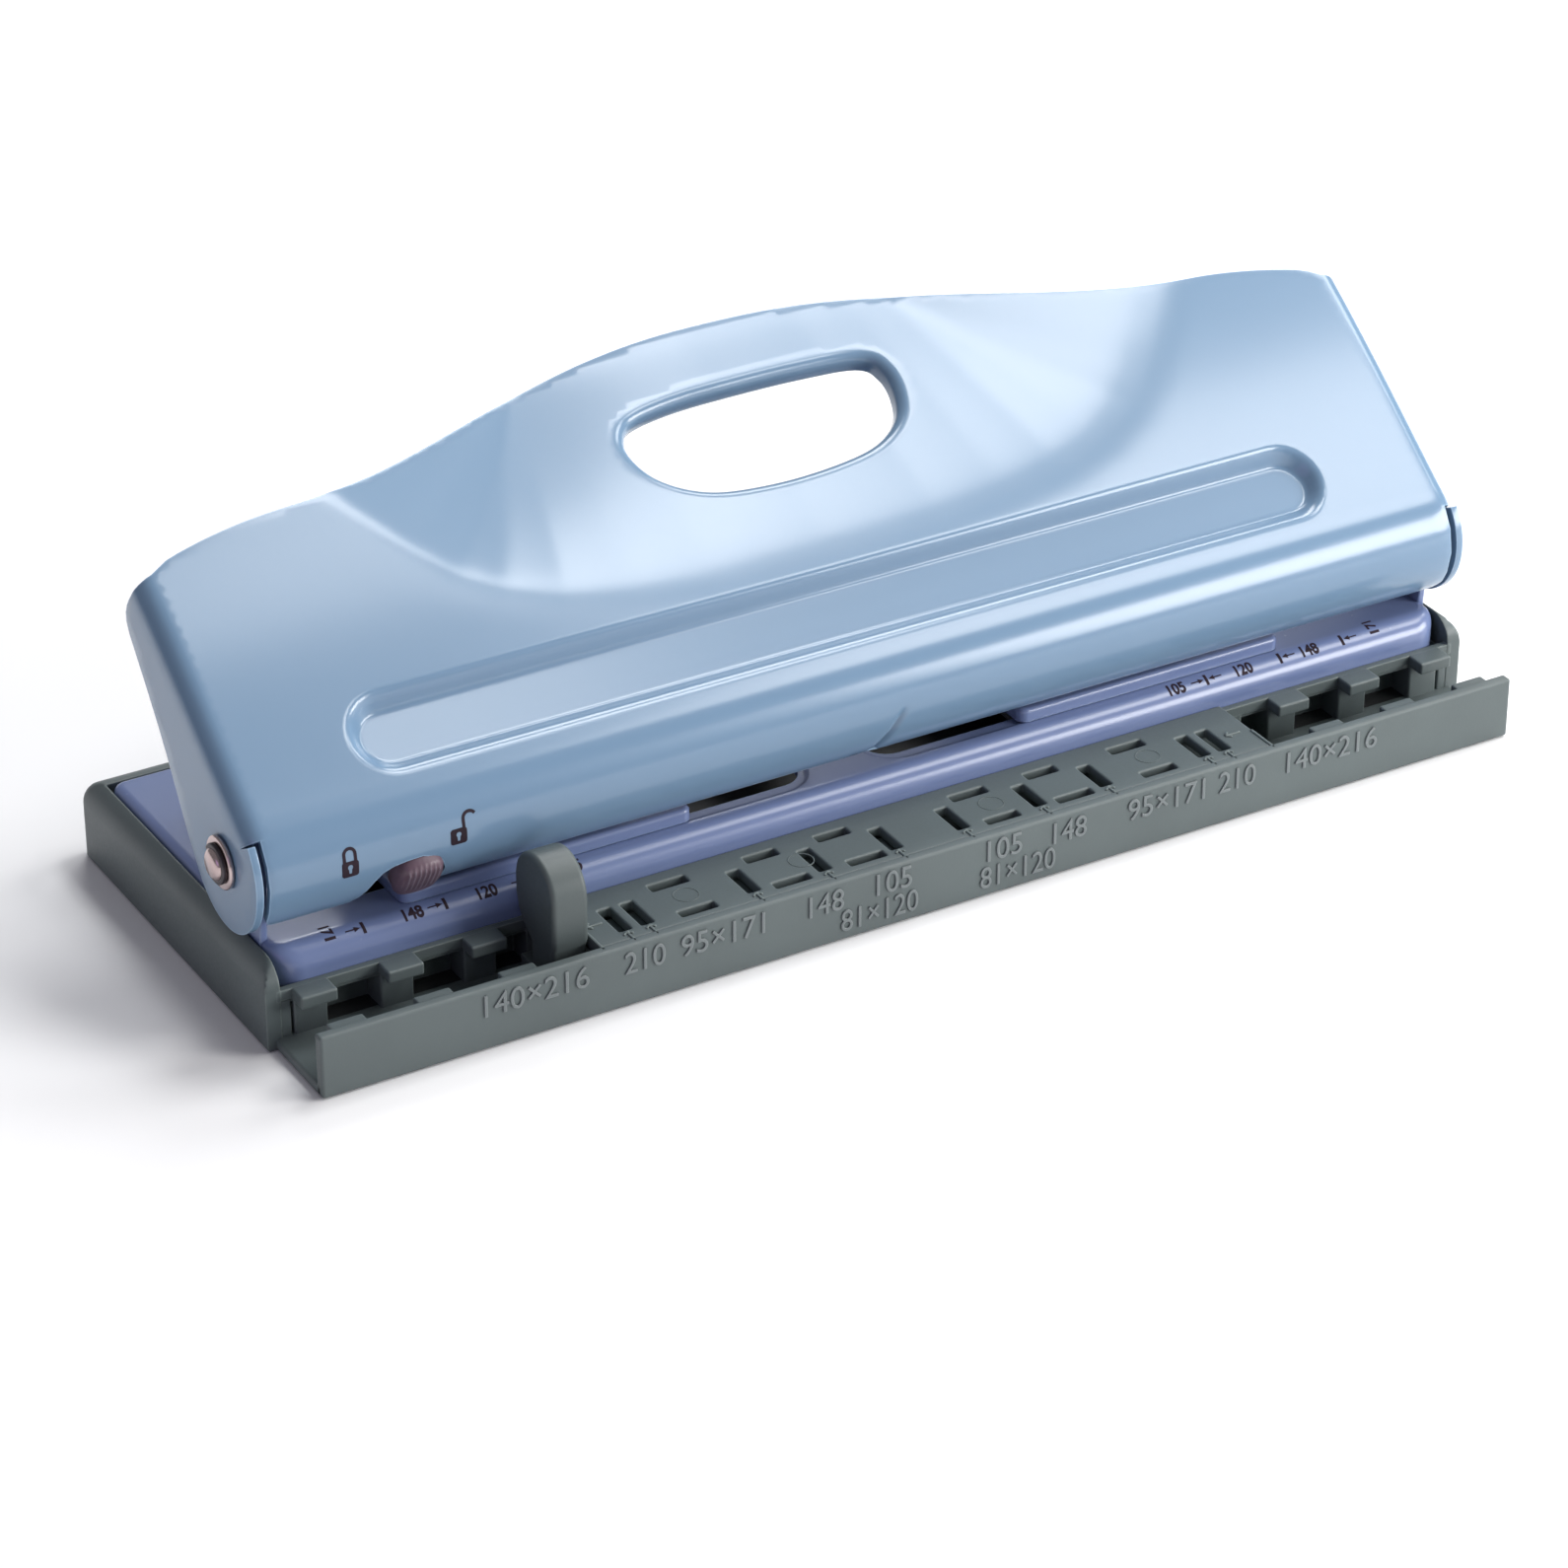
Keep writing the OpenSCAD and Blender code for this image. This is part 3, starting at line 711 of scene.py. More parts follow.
def bed_height(x, y):
    """Height of the bed's upper face, with its front roll and the two shallow pans."""
    x, y = np.asarray(x, float), np.asarray(y, float)
    t = np.clip(BED_FRONT + BED_ROLL - y, 0, BED_ROLL)
    z = RAIL - BED_ROLL + np.sqrt(BED_ROLL ** 2 - t ** 2)
    for x0, x1 in PANS:
        z = z - PAN_DEPTH * smooth(rect_depth(x, y, x0, x1, *PAN_Y, PAN_R) / 0.9)
    return z


def build_bed():
    corner, rear_corner = 4.6, 2.2
    # the edge as (x, y, inward x, inward y, radius of the roll)
    front = [(x, BED_FRONT, 0, 1, BED_ROLL) for x in np.linspace(corner - BED_HALF, BED_HALF - corner, 60)]
    right = []
    for a in np.linspace(-90, 0, 13):
        u, v = math.cos(math.radians(a)), math.sin(math.radians(a))
        roll = BED_SIDE + (BED_ROLL - BED_SIDE) * float(smooth(-a / 90))
        right.append((BED_HALF - corner + corner * u, BED_FRONT + corner + corner * v, -u, -v, roll))
    right += [(BED_HALF, y, -1, 0, BED_SIDE)
              for y in np.linspace(BED_FRONT + corner, BED_BACK - rear_corner, 12)[1:-1]]
    for a in np.linspace(0, 90, 7):
        u, v = math.cos(math.radians(a)), math.sin(math.radians(a))
        right.append((BED_HALF - rear_corner + rear_corner * u, BED_BACK - rear_corner + rear_corner * v,
                      -u, -v, BED_SIDE))
    back = [(x, BED_BACK, 0, -1, BED_SIDE)
            for x in np.linspace(BED_HALF - rear_corner, rear_corner - BED_HALF, 40)[1:-1]]
    left = [(-x, y, -nx, ny, r) for x, y, nx, ny, r in reversed(right)]
    loop = np.array(front[1:-1] + right + back + left)
    xy, inward, r = loop[:, :2], loop[:, 2:4], loop[:, 4:5]
    rings = [np.hstack([xy, np.full_like(r, z)]) for z in (8.7, 9.6)]
    for a in np.radians(np.linspace(0, 90, 9)):
        rings.append(np.hstack([xy + inward * r * (1 - math.cos(a)), RAIL - r * (1 - math.sin(a))]))
    verts = [P(*p) for ring in rings for p in ring]
    faces = quads(len(rings), len(loop), True)
    guides = [rect_loop(x0 + d, x1 - d, PAN_Y[0] + d, PAN_Y[1] - d, PAN_R - d, 10)
              for x0, x1 in PANS for d in (0.0, 0.25, 0.5, 0.75, 1.0)]
    uv, tris = fill(rings[-1][:, :2], WINDOWS, guides, (7, 7))
    z = bed_height(uv[:, 0], np.maximum(uv[:, 1], BED_FRONT + BED_ROLL))
    join(verts, faces, P(uv[:, 0], uv[:, 1], z), tris)
    flat_faces(sheet_piece("bed_sheet", verts, faces, 0.3, 2, "base", MAT["bed"],
                           ["bed_plate"]))


build_bed()

# ---- tray ----

# height of the side walls at the front and behind, then the gutter's rear wall
WALL_TOP, SHOULDER = 9.9, 14.1
GUTTER, GUTTER_BACK = 15.5, 16.7
FRONT_HALF = 106.15
DECK_X, DECK_TOP = (-59.5, 61.0), 10.2
LEDGES = [72.4, 86.2, 100.3]
SLOTS = [-53.7, -49.9, -31.6, -19.2, -6.6, 5.4, 19.4, 31.5, 49.9, 53.7]
REAR_SLOTS = [(-44.9, -38.5), (-28.4, -22.8), (-15.9, -10.2), (8.3, 14.7), (22, 27.6), (37.6, 43.9)]
FRONT_SLOTS = [(-44.6, -38.4), (-28.3, -22.1), (-15.3, -8.9), (9.3, 15.2), (22.2, 28.7), (38, 44.2)]


def slab(outer, holes, z0, z1, r, steps=3, hole_share=1):
    """Closed plate whose upper edges are rounded. Loops are functions of how far they are set in;
    hole_share is how much of the rounding the holes get."""
    angles = np.radians(np.linspace(90, 0, steps + 1))
    levels = [(r * (1 - math.cos(a)), z1 - r * (1 - math.sin(a))) for a in angles] + [(0.0, z0)]
    verts, faces = [], []
    for loop, share in [(outer, 1)] + [(hole, -hole_share) for hole in holes]:
        base = len(verts)
        for d, z in levels:
            verts += [P(a, b, z) for a, b in loop(d * share)]
        faces += quads(len(levels), (len(verts) - base) // len(levels), True, base)
    for d, z in (levels[0], levels[-1]):
        uv, tris = fill(outer(d), [hole(-d * hole_share) for hole in holes])
        join(verts, faces, P(uv[:, 0], uv[:, 1], z), tris)
    return verts, faces


def rect_fn(x0, x1, y0, y1, r, n=3):
    """Rounded rectangle as a function of how far it is set in."""
    return lambda d: rect_loop(x0 + d, x1 - d, y0 + d, y1 - d, max(r - d, 0.02), n)


def circle_fn(cx, cy, r):
    return lambda d: np.array(arc(cx, cy, r - d, 0, 360, 40)[:-1])


def tray_walls():
    """Side and back walls in one sweep round the tray, with the soft shoulder."""
    # the wall's section: how far in at the sides, how far in at the back, and height
    rings = [(0.25, 0.25, 0), (0, 0, 0.3), (0, 0, 9.6), (0.05, 0.1, 10.2), (0.18, 0.45, 11.0),
             (0.45, 1.0, 11.8), (0.85, 1.8, 12.6), (1.4, 2.9, 13.3), (1.95, 4.1, 13.75), (2.3, 5.2, 14.0),
             (2.45, 5.6, SHOULDER - 0.15), (2.45, 5.7, 12.2), (2.45, 3.4, 11.1), (2.45, 2.4, 8.9),
             (2.45, 2.4, 0)]
    ys = [15.5, 15.7, 16.1, 16.6, 17.2, 17.9, 18.7, 19.6, 20.5, 24, 32, 44, 56, 68, 75]
    verts, faces = [], []
    for sx, by, z in rings:
        x, y = TRAY_HALF - sx, DEPTH - by
        r = max(2.4 - 0.45 * max(sx, by), 0.25)
        half = [(x, v) for v in ys] + arc(x - r, y - r, r, 0, 90, 8)
        path = half + [(-a, b) for a, b in reversed(half)]
        for px, py in path:
            t = min(max((20.5 - py) / 5.0, 0), 1)
            verts.append(P(px, py, min(z, WALL_TOP + (SHOULDER - WALL_TOP) * math.sqrt(1 - t * t))))
    n, k = len(path), len(rings)
    faces = quads(k, n, False, ring=True)
    return verts, faces + [tuple(j * n for j in range(k)), tuple(j * n + n - 1 for j in reversed(range(k)))]


def stroke(x0, y0, x1, y1, width):
    """Corners of a straight stroke."""
    d = np.array([x1 - x0, y1 - y0], float)
    nx, ny = np.array([-d[1], d[0]]) / np.linalg.norm(d) * width / 2
    return [(x0 - nx, y0 - ny), (x1 - nx, y1 - ny), (x1 + nx, y1 + ny), (x0 + nx, y0 + ny)]


def ring_z(cx, cy, outer, inner, z0, z1, n=40):
    verts = [P(cx + r * math.cos(2 * math.pi * i / n), cy + r * math.sin(2 * math.pi * i / n), z)
             for r, z in ((outer, z0), (outer, z1), (inner, z1), (inner, z0)) for i in range(n)]
    return verts, quads(4, n, True, ring=True)


def build_tray():
    tray = ("base", "tray_plastic", MAT["tray"])
    # the gutter's rear wall: a strip in front of the bed and the deeper wall under it
    gutter_wall = [box_solid((-105.6, 105.6), (GUTTER + 0.03, GUTTER_BACK), (8.0, 9.7)),
                   box_solid((-105.6, 105.6), (GUTTER + 0.3, 21.2), (7.4, 8.4)),
                   box_solid((-105.6, 105.6), (20.0, 21.2), (1.0, 8.0)),
                   box_solid((-64.5, 64.5), (GUTTER + 0.1, 20.4), (1.0, 8.1))]
    floor_front = box_solid((-FRONT_HALF, FRONT_HALF), (0.6, 17), (0, 1.8))
    floor_back = box_solid((-106.8, 106.8), (16, 81.5), (0.02, 1.8))
    front_wall = box_solid((-FRONT_HALF, FRONT_HALF), (0, 2), (0, 10.4))
    bevelled("tray_walls", [tray_walls(), *gutter_wall], 0.3, *tray, ["base_tray"], 3, 40)
    bevelled("tray_front", [floor_front, front_wall], 0.45, *tray, segments=3, angle=40)
    # the tray floor under the bed is coloured near black: painted shade for the dark inside
    bevelled("tray_floor", [floor_back], 0.45, *tray[:2], MAT["floor"], segments=3, angle=40)
    # ledges with the ribs below them, and four posts
    ledges = []
    for s in (-1, 1):
        for x in LEDGES:
            for half, y, z in ((2.95, (12.1, 15.9), (7.7, 9.72)), (2.95, (1.5, 4.3), (8.0, 9.8)),
                               (2.7, (15.4, 20.5), (1.5, 8.0))):
                ledges.append(box_solid((s * x - half, s * x + half), y, z))
        ledges.append(box_solid((s * 104.6 - 1.2, s * 104.6 + 1.2), (15.56, 20.5), (1.5, 8.0)))
    ledges += [box_solid((x - 3, x + 3), (y - 3, y + 3), (1.5, 13.5)) for x in (-99, 99) for y in (26, 70)]
    bevelled("tray_ledges", ledges, 0.3, *tray)
    holes = [rect_fn(x - 1.1, x + 1.1, 4.5, 11.5, 0.25) for x in SLOTS]
    holes += [rect_fn(*x, 12.1, 14.1, 0.25) for x in REAR_SLOTS]
    holes += [rect_fn(*x, 3.5, 5.3, 0.25) for x in FRONT_SLOTS]
    deck = slab(rect_fn(*DECK_X, 1.9, GUTTER_BACK, 0.3), holes, DECK_TOP - 1.6, DECK_TOP, 0.3)
    flat_faces(make("tray_deck", *deck, *tray))

    # moulded arrows, ridges and ejector rings on the deck
    lines = []
    for x in SLOTS:
        tip = x - 0.2
        lines += [(tip, 0.9, tip, 3.9), (tip - 0.8, 3.1, tip, 4.0), (tip + 0.8, 3.1, tip, 4.0)]
    for x in (-57.3, 57.4):
        lines += [(x - 1.3, 8, x + 1.5, 8), (x - 1.3, 8, x - 0.4, 8.8), (x - 1.3, 8, x - 0.4, 7.2)]
    strokes = [stroke(*line, 0.42) for line in lines]
    strokes += [stroke(x, 1, x, 7.5, 0.5) for x in (DECK_X[0] + 0.3, DECK_X[1] - 0.3)]
    ridges = [prism(corners, P, (DECK_TOP - 0.3, DECK_TOP + 0.2)) for corners in strokes]
    bevelled("tray_deck_marks", ridges, 0.1, *tray)
    for i, x in enumerate((-21, 13, -41, 42)):
        make("tray_ejector_%d" % i, *ring_z(x, 8.8, 2.05, 1.9, DECK_TOP - 0.1, DECK_TOP + 0.05), *tray)


build_tray()

# ---- numerals and printed marks ----


def glyphs(text, size, bold, depth=0.0, wide=1.0):
    """Numerals in their own plane, centred, in millimetres; depth is half their thickness."""
    curve = bpy.data.curves.new("numerals", "FONT")
    curve.body = text
    curve.size = 1.0
    curve.extrude = depth
    curve.offset = bold
    curve.resolution_u = 5
    obj = new_object("numerals", curve)
    deps = bpy.context.evaluated_depsgraph_get()
    mesh = bpy.data.meshes.new_from_object(obj.evaluated_get(deps))
    bpy.data.objects.remove(obj)
    v = np.array([tuple(p.co) for p in mesh.vertices])
    k = size / (v[:, 1].max() - v[:, 1].min())
    v = (v - (v.min(0) + v.max(0)) / 2) * np.array([k * wide, k, 1.0])
    return v, [tuple(p.vertices) for p in mesh.polygons]


def cut_fine(v, f, step):
    """Splits a flat mesh into cells so that it can follow a curved surface."""
    bm = bmesh.new()
    vs = [bm.verts.new(p) for p in v]
    for g in f:
        try:
            bm.faces.new([vs[i] for i in g])
        except ValueError:
            pass
    lo, hi = v.min(0), v.max(0)
    for axis in (0, 1):
        for t in np.arange(lo[axis] + step / 2, hi[axis], step):
            co, no = [0, 0, 0], [0, 0, 0]
            co[axis], no[axis] = t, 1
            geom = bm.verts[:] + bm.edges[:] + bm.faces[:]
            bmesh.ops.bisect_plane(bm, geom=geom, plane_co=co, plane_no=no)
    bmesh.ops.triangulate(bm, faces=bm.faces)
    bm.verts.index_update()
    out = np.array([tuple(p.co) for p in bm.verts])
    faces = [tuple(p.index for p in g.verts) for g in bm.faces]
    bm.free()
    return out, faces


def printed(name, flat, surface_fn, body):
    """Ink a hair above a surface: flat is a list of (verts, faces) in the surface's own coordinates."""
    verts, faces = [], []
    for v, f in flat:
        v, f = cut_fine(np.asarray(v, float), f, 0.35)
        n = len(v)
        both = [surface_fn(v[:, 0], v[:, 1], h) for h in (0.035, -0.03)]
        edges = [e for t in f for e in zip(t, t[1:] + t[:1])]
        once = set(edges)
        rim = [(b, a, n + a, n + b) for a, b in dict.fromkeys(edges) if (b, a) not in once]
        join(verts, faces, np.concatenate(both), f + [tuple(n + i for i in reversed(t)) for t in f] + rim)
    return make(name, verts, faces, body, "dark_steel", MAT["ink"], shaded=False, doubles=0)


def flat_quad(*line_and_width):
    return [(*p, 0) for p in stroke(*line_and_width)], [(0, 1, 2, 3)]


def ribbon(points, width):
    """Curved line of even width."""
    p = np.asarray(points, float)
    d = np.gradient(p, axis=0)
    n = np.stack([-d[:, 1], d[:, 0]], 1) / np.linalg.norm(d, axis=1)[:, None] * width / 2
    v = [(*q, 0) for q in p - n] + [(*q, 0) for q in p + n]
    return v, quads(2, len(p), False)


def on_bed(x, y, h):
    return P(x, y, bed_height(x, y) + h)


def moved(v, f, x, y, turn=0):
    v = np.asarray(v, float)
    c, s = math.cos(math.radians(turn)), math.sin(math.radians(turn))
    return np.stack([v[:, 0] * c - v[:, 1] * s + x, v[:, 0] * s + v[:, 1] * c + y, v[:, 2] * 0], 1), f


def build_bed_marks():
    marks = []
    y = 18.75
    for x in (-89.8, -76.3, -62.3, 59.6, 73.8, 85.9):
        marks.append(flat_quad(x, y - 0.85, x, y + 0.85, 0.5))
        for s in ((-1, 1) if abs(x) < 65 else (math.copysign(1, x),)):
            marks.append(flat_quad(x + s * 0.9, y, x + s * 2.9, y, 0.16))
            head = [(x + s * 0.5, y, 0), (x + s * 1.5, y - 0.38, 0), (x + s * 1.5, y + 0.38, 0)]
            marks.append((head, [(0, 1, 2)]))
    for x, text in ((-55.0, "105"), (53.9, "105"), (-69.3, "120"), (66.8, "120"), (-81.6, "148"),
                    (79.6, "148")):
        marks.append(moved(*glyphs(text, 1.85, 0.03), x, y))
    for x, turn in ((-95.3, -90), (92.3, 90)):
        marks.append(moved(*glyphs("171", 1.8, 0.03), x, y + 0.9, turn))
    printed("bed_marks", marks, on_bed, "base")


def padlock(x, s, is_open):
    """Body with a keyhole, and its shackle closed, or swung open to the right."""
    body = rect_loop(x - 1.35, x + 1.35, s - 1.3, s + 1.3, 0.45, 4)
    keyhole = [(x + 0.42 * math.sin(a), s + 0.3 + 0.42 * math.cos(a))
               for a in np.radians(range(-140, 141, 20))]
    hole = np.array(keyhole + [(x + 0.2, s - 0.75), (x - 0.2, s - 0.75)])[::-1]
    v, f = fill(body, [hole])
    if is_open:
        shackle = [(x + 0.9, s + 1.2), (x + 0.9, s + 2.3)]
        shackle += [(x + 1.95 + 1.05 * math.cos(a), s + 2.5 + 1.05 * math.sin(a))
                    for a in np.radians(range(165, 15, -15))]
    else:
        shackle = [(x - 0.9, s + 1.2), (x - 0.9, s + 2.2)]
        shackle += [(x + 0.9 * math.cos(a), s + 2.4 + 0.9 * math.sin(a))
                    for a in np.radians(range(170, 5, -20))]
        shackle += [(x + 0.9, s + 2.2), (x + 0.9, s + 1.2)]
    return [(np.hstack([v, np.zeros((len(v), 1))]), [tuple(t) for t in f]), ribbon(shackle, 0.5)]


def build_wall_numerals():
    labels = [(71.1, 7.5, "140×216", 0.98), (53.0, 7.5, "210", 0.9), (39.7, 7.5, "95×171", 0.95),
              (21.8, 7.5, "148", 0.9), (9.9, 7.9, "105", 0.95), (12.4, 3.4, "81×120", 0.85)]
    verts, faces = [], []
    for x, z, text, wide in labels:
        for s in (-1, 1):
            v, f = glyphs(text, 3.7, 0.0, 0.24, wide)
            join(verts, faces, P(v[:, 0] + s * x, -v[:, 2], v[:, 1] + z), f)
    make("size_numerals", verts, faces, "base", "tray_plastic", MAT["numeral"])


# ---- edge guide, lock, hinge ends, heads ----


def build_guide():
    left, right = -65.9, -59.9
    outline = [(4.9, 4.0), (4.9, 9.3), (4.3, 10.6)] + arc(10.3, 17.5, 6.1, 180, 0, 22)
    outline += [(16.3, 14.6), (15.6, 12.2), (14.4, 10.4), (12.8, 9.2), (11.7, 8.4), (11.7, 4.0)]
    guide = ("page_guide", "guide_plastic", MAT["guide"])
    bevelled("guide_paddle", [prism_x(left, right, outline)], 0.75, *guide, ["edge_guide"], 4, 35)
    foot = [box_solid((left, -4), (2.5, 15), (2.3, 4.4)),
            box_solid((left + 0.2, -4), (5.2, 11.4), (4.2, 8.2)),
            box_solid((-7.4, -5.6), (6, 10), (8.0, 8.4))]
    bevelled("guide_foot", foot, 0.3, *guide)


LOCK_X, LOCK_ANGLE = -80.7, math.radians(214)


def at_lock(x, y, z):
    """Place on the lock: y up round the roll, z out from the hinge axis."""
    out, up = math.cos(LOCK_ANGLE), math.sin(LOCK_ANGLE)
    return P(x + LOCK_X, PIVOT_Y + out * z - up * y, PIVOT_Z + up * z + out * y)


def build_knob():
    """Rounded pad with fine ribs over its lower part."""
    width, height, n, m = 7.6, 8.5, 84, 60

    def pad_point(i, j, z=None):
        u, v = -1 + 2 * i / n, -1 + 2 * j / m
        # square to rounded square
        k = 1 - 0.2 * min(u * u, v * v)
        x, y = u * k * width / 2, v * k * height / 2
        if z is None:
            edge = max(abs(u), abs(v)) ** 8
            rib = 0.26 * (1 - abs(math.sin(math.pi * x / 0.82))) * smooth((0.5 - v) / 0.35) \
                * (1 - edge) * smooth((1 - abs(u)) / 0.2)
            z = 12.15 - 0.9 * edge - 0.25 * (u * u + v * v) + float(rib)
        return at_lock(x, y - 0.45, z)

    verts = [pad_point(i, j) for j in range(m + 1) for i in range(n + 1)]
    top = len(verts)
    border = list(range(n + 1)) + [j * (n + 1) + n for j in range(1, m + 1)]
    border += [m * (n + 1) + i for i in range(n - 1, -1, -1)] + [j * (n + 1) for j in range(m - 1, 0, -1)]
    verts += [pad_point(i % (n + 1), i // (n + 1), 8.75) for i in border]
    faces = quads(m + 1, n + 1, False)
    b = len(border)
    faces += [(border[i], border[(i + 1) % b], top + (i + 1) % b, top + i) for i in range(b)]
    faces.append(tuple(top + i for i in reversed(range(b))))
    make("lock_pad", verts, faces, "lock", "lock_plastic", MAT["lock"], ["lock_knob"])


def turned(profile, a0=0, a1=360, n=56):
    """Solid turned round the hinge axis from a profile of (x, radius)."""
    full = a1 - a0 == 360
    m = n if full else n + 1
    angles = [math.radians(a0 + (a1 - a0) * i / n) for i in range(m)]
    verts = [P(x, PIVOT_Y + r * math.cos(a), PIVOT_Z + r * math.sin(a)) for x, r in profile for a in angles]
    k = len(profile)
    faces = quads(k, m, full, ring=True)
    if not full:
        faces += [tuple(j * m for j in reversed(range(k))), tuple(j * m + m - 1 for j in range(k))]
    return verts, faces


def round_ring(x0, x1, r0, r1, c, steps=3):
    """Ring section with rounded outer edges."""
    out = [(x0, r0)]
    turn = np.linspace(0, math.pi / 2, steps + 1)
    out += [(x0 + c - c * math.cos(a), r1 - c + c * math.sin(a)) for a in turn]
    out += [(x1 - c + c * math.sin(a), r1 - c + c * math.cos(a)) for a in turn]
    return out + [(x1, r0)]


def build_hinge_ends():
    tip = TRAY_HALF + 2.3
    rod = [(-tip, 0.02), (-tip, 1.75), (-tip + 0.25, 2.2), (-tip + 0.45, 2.4), (-tip + 0.7, 2.5)]
    rod += [(-x, r) for x, r in reversed(rod)]
    make("hinge_rod", *turned(rod), "base", "pivot_steel", MAT["pivot"], ["pivot_rod"])
    for name, node, x0, x1, r1, c, key, slot, gap in (
            ("hinge_washers", "pivot_washers", 107.6, 108.4, 4.2, 0.3, "pivot", "pivot_steel", (0, 360)),
            ("hinge_clips", "pivot_clips", 108.4, 109.1, 3.2, 0.22, "clip", "dark_steel", (30, 330)),
            ("hinge_bushes", "pivot_bushes", 104.82, 106.2, 4.5, 0.3, "nylon", "white_plastic", (0, 360))):
        verts, faces = [], []
        for s in (-1, 1):
            join(verts, faces, *turned([(s * x, r) for x, r in round_ring(x0, x1, 2.52, r1, c)], *gap))
        make(name, verts, faces, "base", slot, MAT[key], [node])
    ear = arc(PIVOT_Y, PIVOT_Z, 6.5, 0, 180, 24)
    ear += [(PIVOT_Y - 5.4, RAIL), (PIVOT_Y - 5.4, 11.5), (PIVOT_Y + 8, 11.5), (PIVOT_Y + 8, RAIL)]
    ears = [prism_x(-104.8, -103.6, ear), prism_x(103.6, 104.8, ear)]
    bevelled("hinge_ears", ears, 0.25, "base", "bed_paint", MAT["bed"], ["bed_ears"])


HEADS = {"left": (-1, -58.2), "right": (1, 50.8)}
PUNCH_X = (-20.8, -1.8, 17.2)
PUNCH_Y = 43.0


def build_head(name):
    """Die plate and return springs of one punch head."""
    side, cx = HEADS[name]
    body = name + "_head"
    half = 24.2
    punches = [cx + side * x for x in PUNCH_X]
    holes = [circle_fn(x, PUNCH_Y, 3.08) for x in punches]
    # the inner end runs on a little so that the rounded edges keep clear of the inner hole
    ends = sorted((cx - side * (half + 0.9), cx + side * half))
    jaw = slab(rect_fn(*ends, 20.5, 53.5, 1.6, 4), holes, 14.9, 17.1, 0.75, 4, 0.4)
    flat_faces(make(name + "_die", *jaw, body, "bed_paint", MAT["bed"], [name + "_die_plate"]))
    ends = sorted((cx - side * half, cx + side * (half - 1)))
    key = slab(rect_fn(*ends, 26.7, 53.5, 1.0), holes, 13.5, 15.0, 0.1, 1)
    make(name + "_die_key", *key, body, "bed_paint", MAT["bed"])
    verts, faces = [], []
    turns, steps, sides, wire, radius = 5.0, 26, 8, 0.36, 3.75
    low, high = 21.3, 32.4
    n = int(turns * steps)
    for x in punches:
        base = len(verts)
        for i in range(n + 1):
            q = 2 * math.pi * turns * (i / n)
            # the end coils lie flat
            rise = low + wire + (high - low - 2 * wire) * float(np.clip((i / n - 0.1) / 0.8, 0, 1))
            for a in [2 * math.pi * j / sides for j in range(sides)]:
                r = radius + wire * math.cos(a)
                verts.append(P(x + r * math.cos(q), PUNCH_Y + r * math.sin(q), rise + wire * math.sin(a)))
        faces += quads(n + 1, sides, True, base)
        faces.append(tuple(base + j for j in reversed(range(sides))))
        faces.append(tuple(base + n * sides + j for j in range(sides)))
    coil = make(name + "_springs", verts, faces, body, "spring_steel", MAT["spring"],
                [name + "_return_springs"], doubles=0)
    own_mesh(coil)


build_bed_marks()
printed("lock_marks", padlock(-92.4, -10.6, False) + padlock(-74.7, -10.3, True), shell, "handle")
build_wall_numerals()
build_guide()
build_knob()
build_hinge_ends()
build_head("left")
build_head("right")

# ---- stage, light and camera ----


def floor():
    mesh = bpy.data.meshes.new("floor")
    n, size = 24, 4.0
    grid = [(size * (2 * i / n - 1), size * (2 * j / n - 1), 0) for j in range(n + 1) for i in range(n + 1)]
    mesh.from_pydata(grid, [], quads(n + 1, n + 1, False))
    obj = new_object("floor", mesh)
    m, nodes, links, bsdf = new_material("floor_paper")
    shade = ramp(nodes, links, noise(nodes, links, 3, 3), [(0.3, 0.93), (0.7, 0.96)])
    links.new(shade, bsdf.inputs["Base Color"])
    bsdf.inputs["Roughness"].default_value = 0.9
    bsdf.inputs["Specular IOR Level"].default_value = 0.1
    mesh.materials.append(m)
    obj.location.z = -0.0002


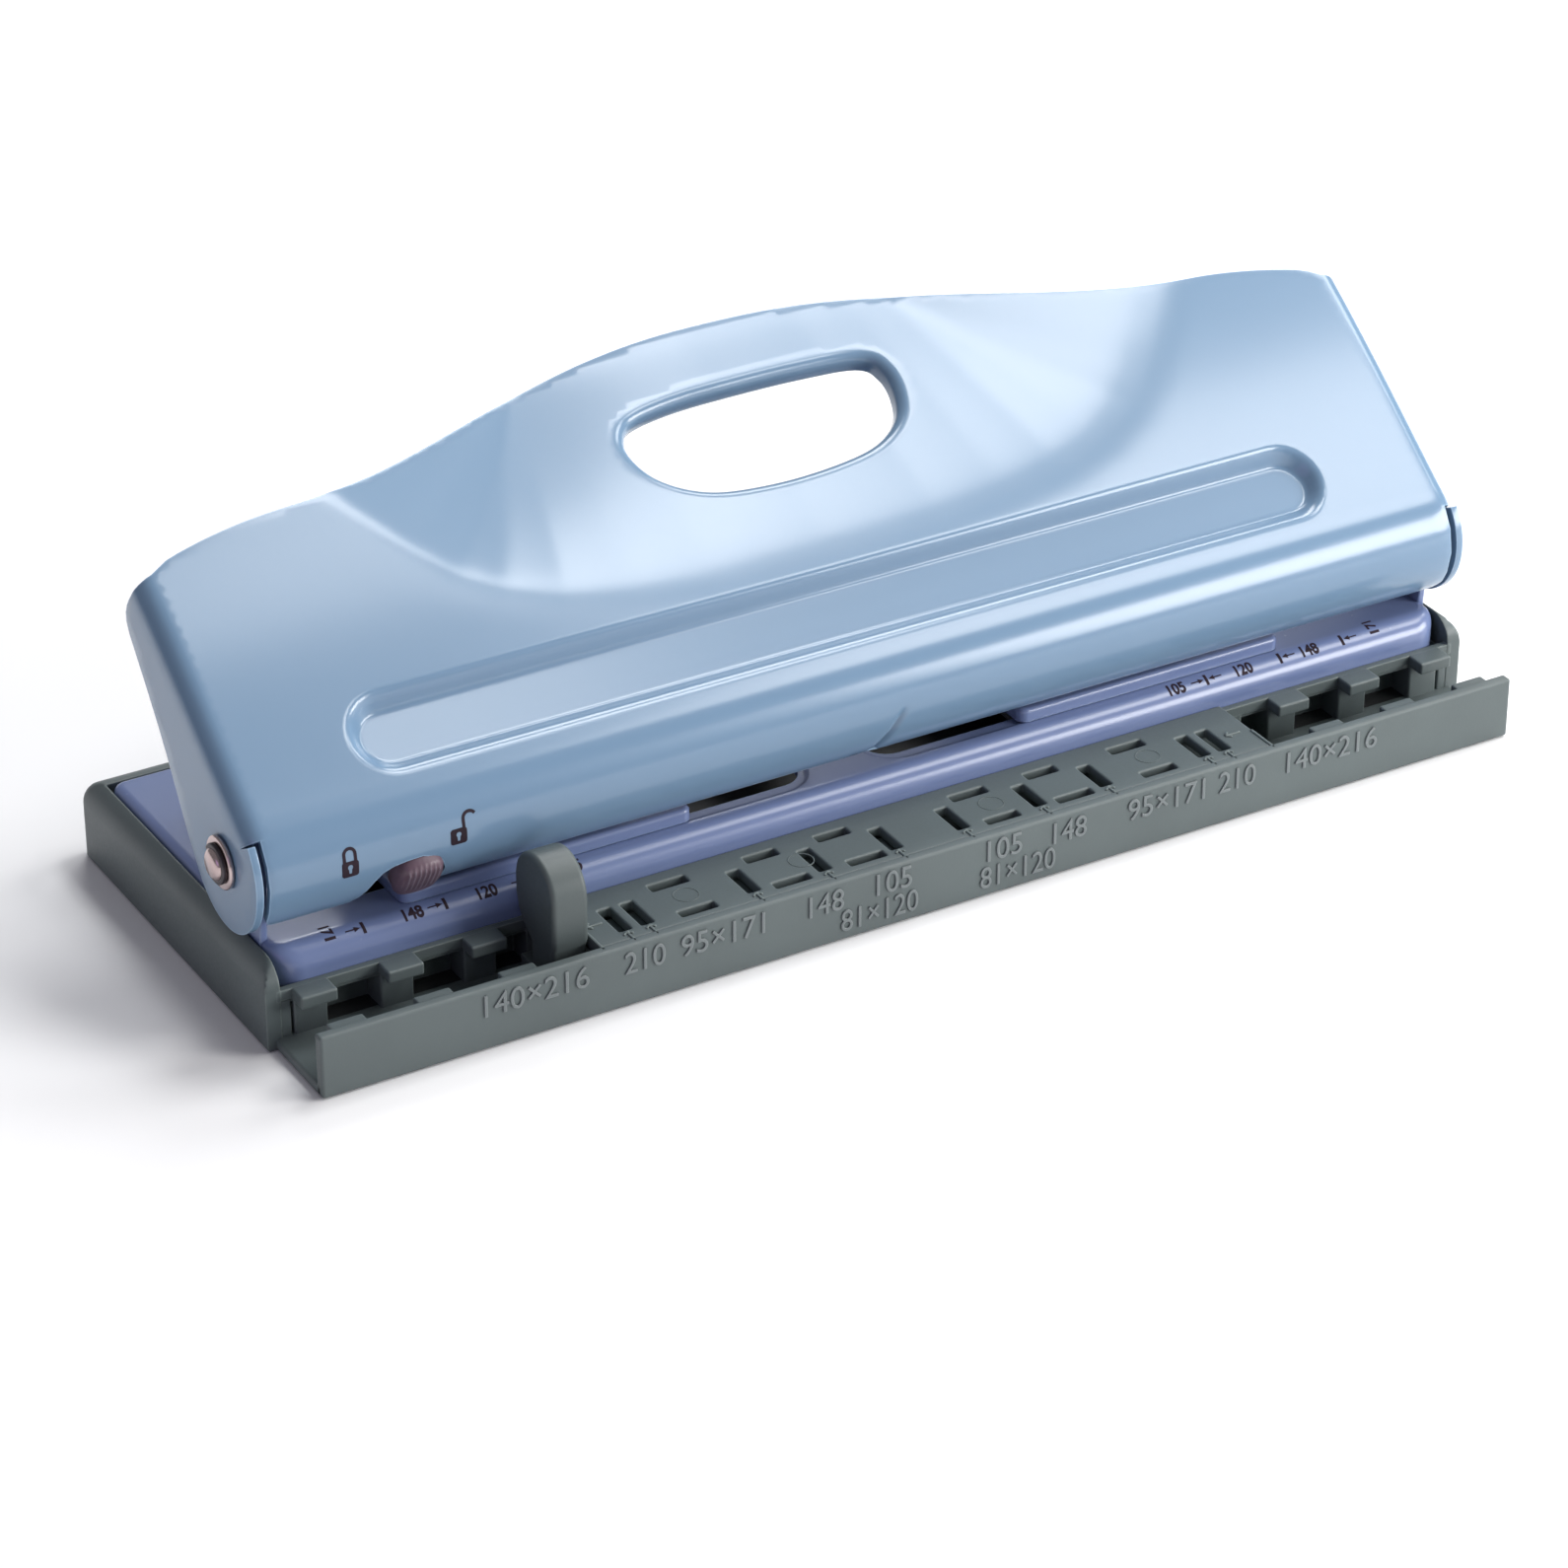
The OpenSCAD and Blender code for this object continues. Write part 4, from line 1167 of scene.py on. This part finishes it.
def area_light(name, location, target, size, power, colour):
    light = bpy.data.lights.new(name, "AREA")
    light.shape = "RECTANGLE"
    light.size, light.size_y = size
    light.energy = power
    light.color = colour
    obj = new_object(name, light)
    obj.location = location
    obj.rotation_euler = (Vector(target) - Vector(location)).to_track_quat("-Z", "Y").to_euler()
    obj.visible_camera = False


def camera():
    cam = bpy.data.cameras.new("camera")
    cam.lens = 122.78
    cam.sensor_width = 36
    cam.clip_start, cam.clip_end = 0.05, 20
    obj = new_object("camera", cam)
    # the view of the photograph: turn, height angle and distance
    az, el, dist = math.radians(-30.315), math.radians(29.951), 0.8306
    back = Vector((math.sin(az) * math.cos(el), -math.cos(az) * math.cos(el), math.sin(el)))
    target = Vector(P(-11.39, 30.37, 10.0))
    obj.location = target + back * dist
    obj.rotation_euler = back.to_track_quat("Z", "Y").to_euler()
    bpy.context.scene.camera = obj


floor()
camera()
COOL, WARM = (0.98, 0.99, 1.0), (1.0, 0.99, 0.98)
world = bpy.data.worlds.new("studio")
bpy.context.scene.world = world
world.use_nodes = True
sky = world.node_tree.nodes["Background"].inputs
sky["Color"].default_value = (0.94, 0.95, 1.0, 1)
sky["Strength"].default_value = 0.24
bpy.context.scene.view_settings.view_transform = "Standard"
area_light("key", (0.72, -0.43, 1.05), (0.72, -0.43, 0), (0.5, 0.4), 5.6, (1.0, 0.985, 0.97))
area_light("side", (1.25, 0.1, 1.1), (0.05, -0.02, 0), (0.6, 0.5), 7, WARM)
area_light("top", (0.33, -0.17, 1.05), (0.33, -0.17, 0), (0.2, 0.14), 0.65, COOL)
area_light("grip", (0.415, 0.11, 1.05), (0.415, 0.11, 0), (0.29, 0.34), 3.7, COOL)
area_light("back", (0.5, 0.75, 0.95), (0, 0, 0.02), (0.6, 0.4), 6.5, COOL)
area_light("front", (0.52, -0.49, 0.23), (0.08, -0.03, 0.02), (0.45, 0.25), 4.6, WARM)
area_light("fill", (-0.8, -0.5, 0.35), (0, 0, 0.03), (0.6, 0.4), 0.5, (0.68, 0.44, 1.0))
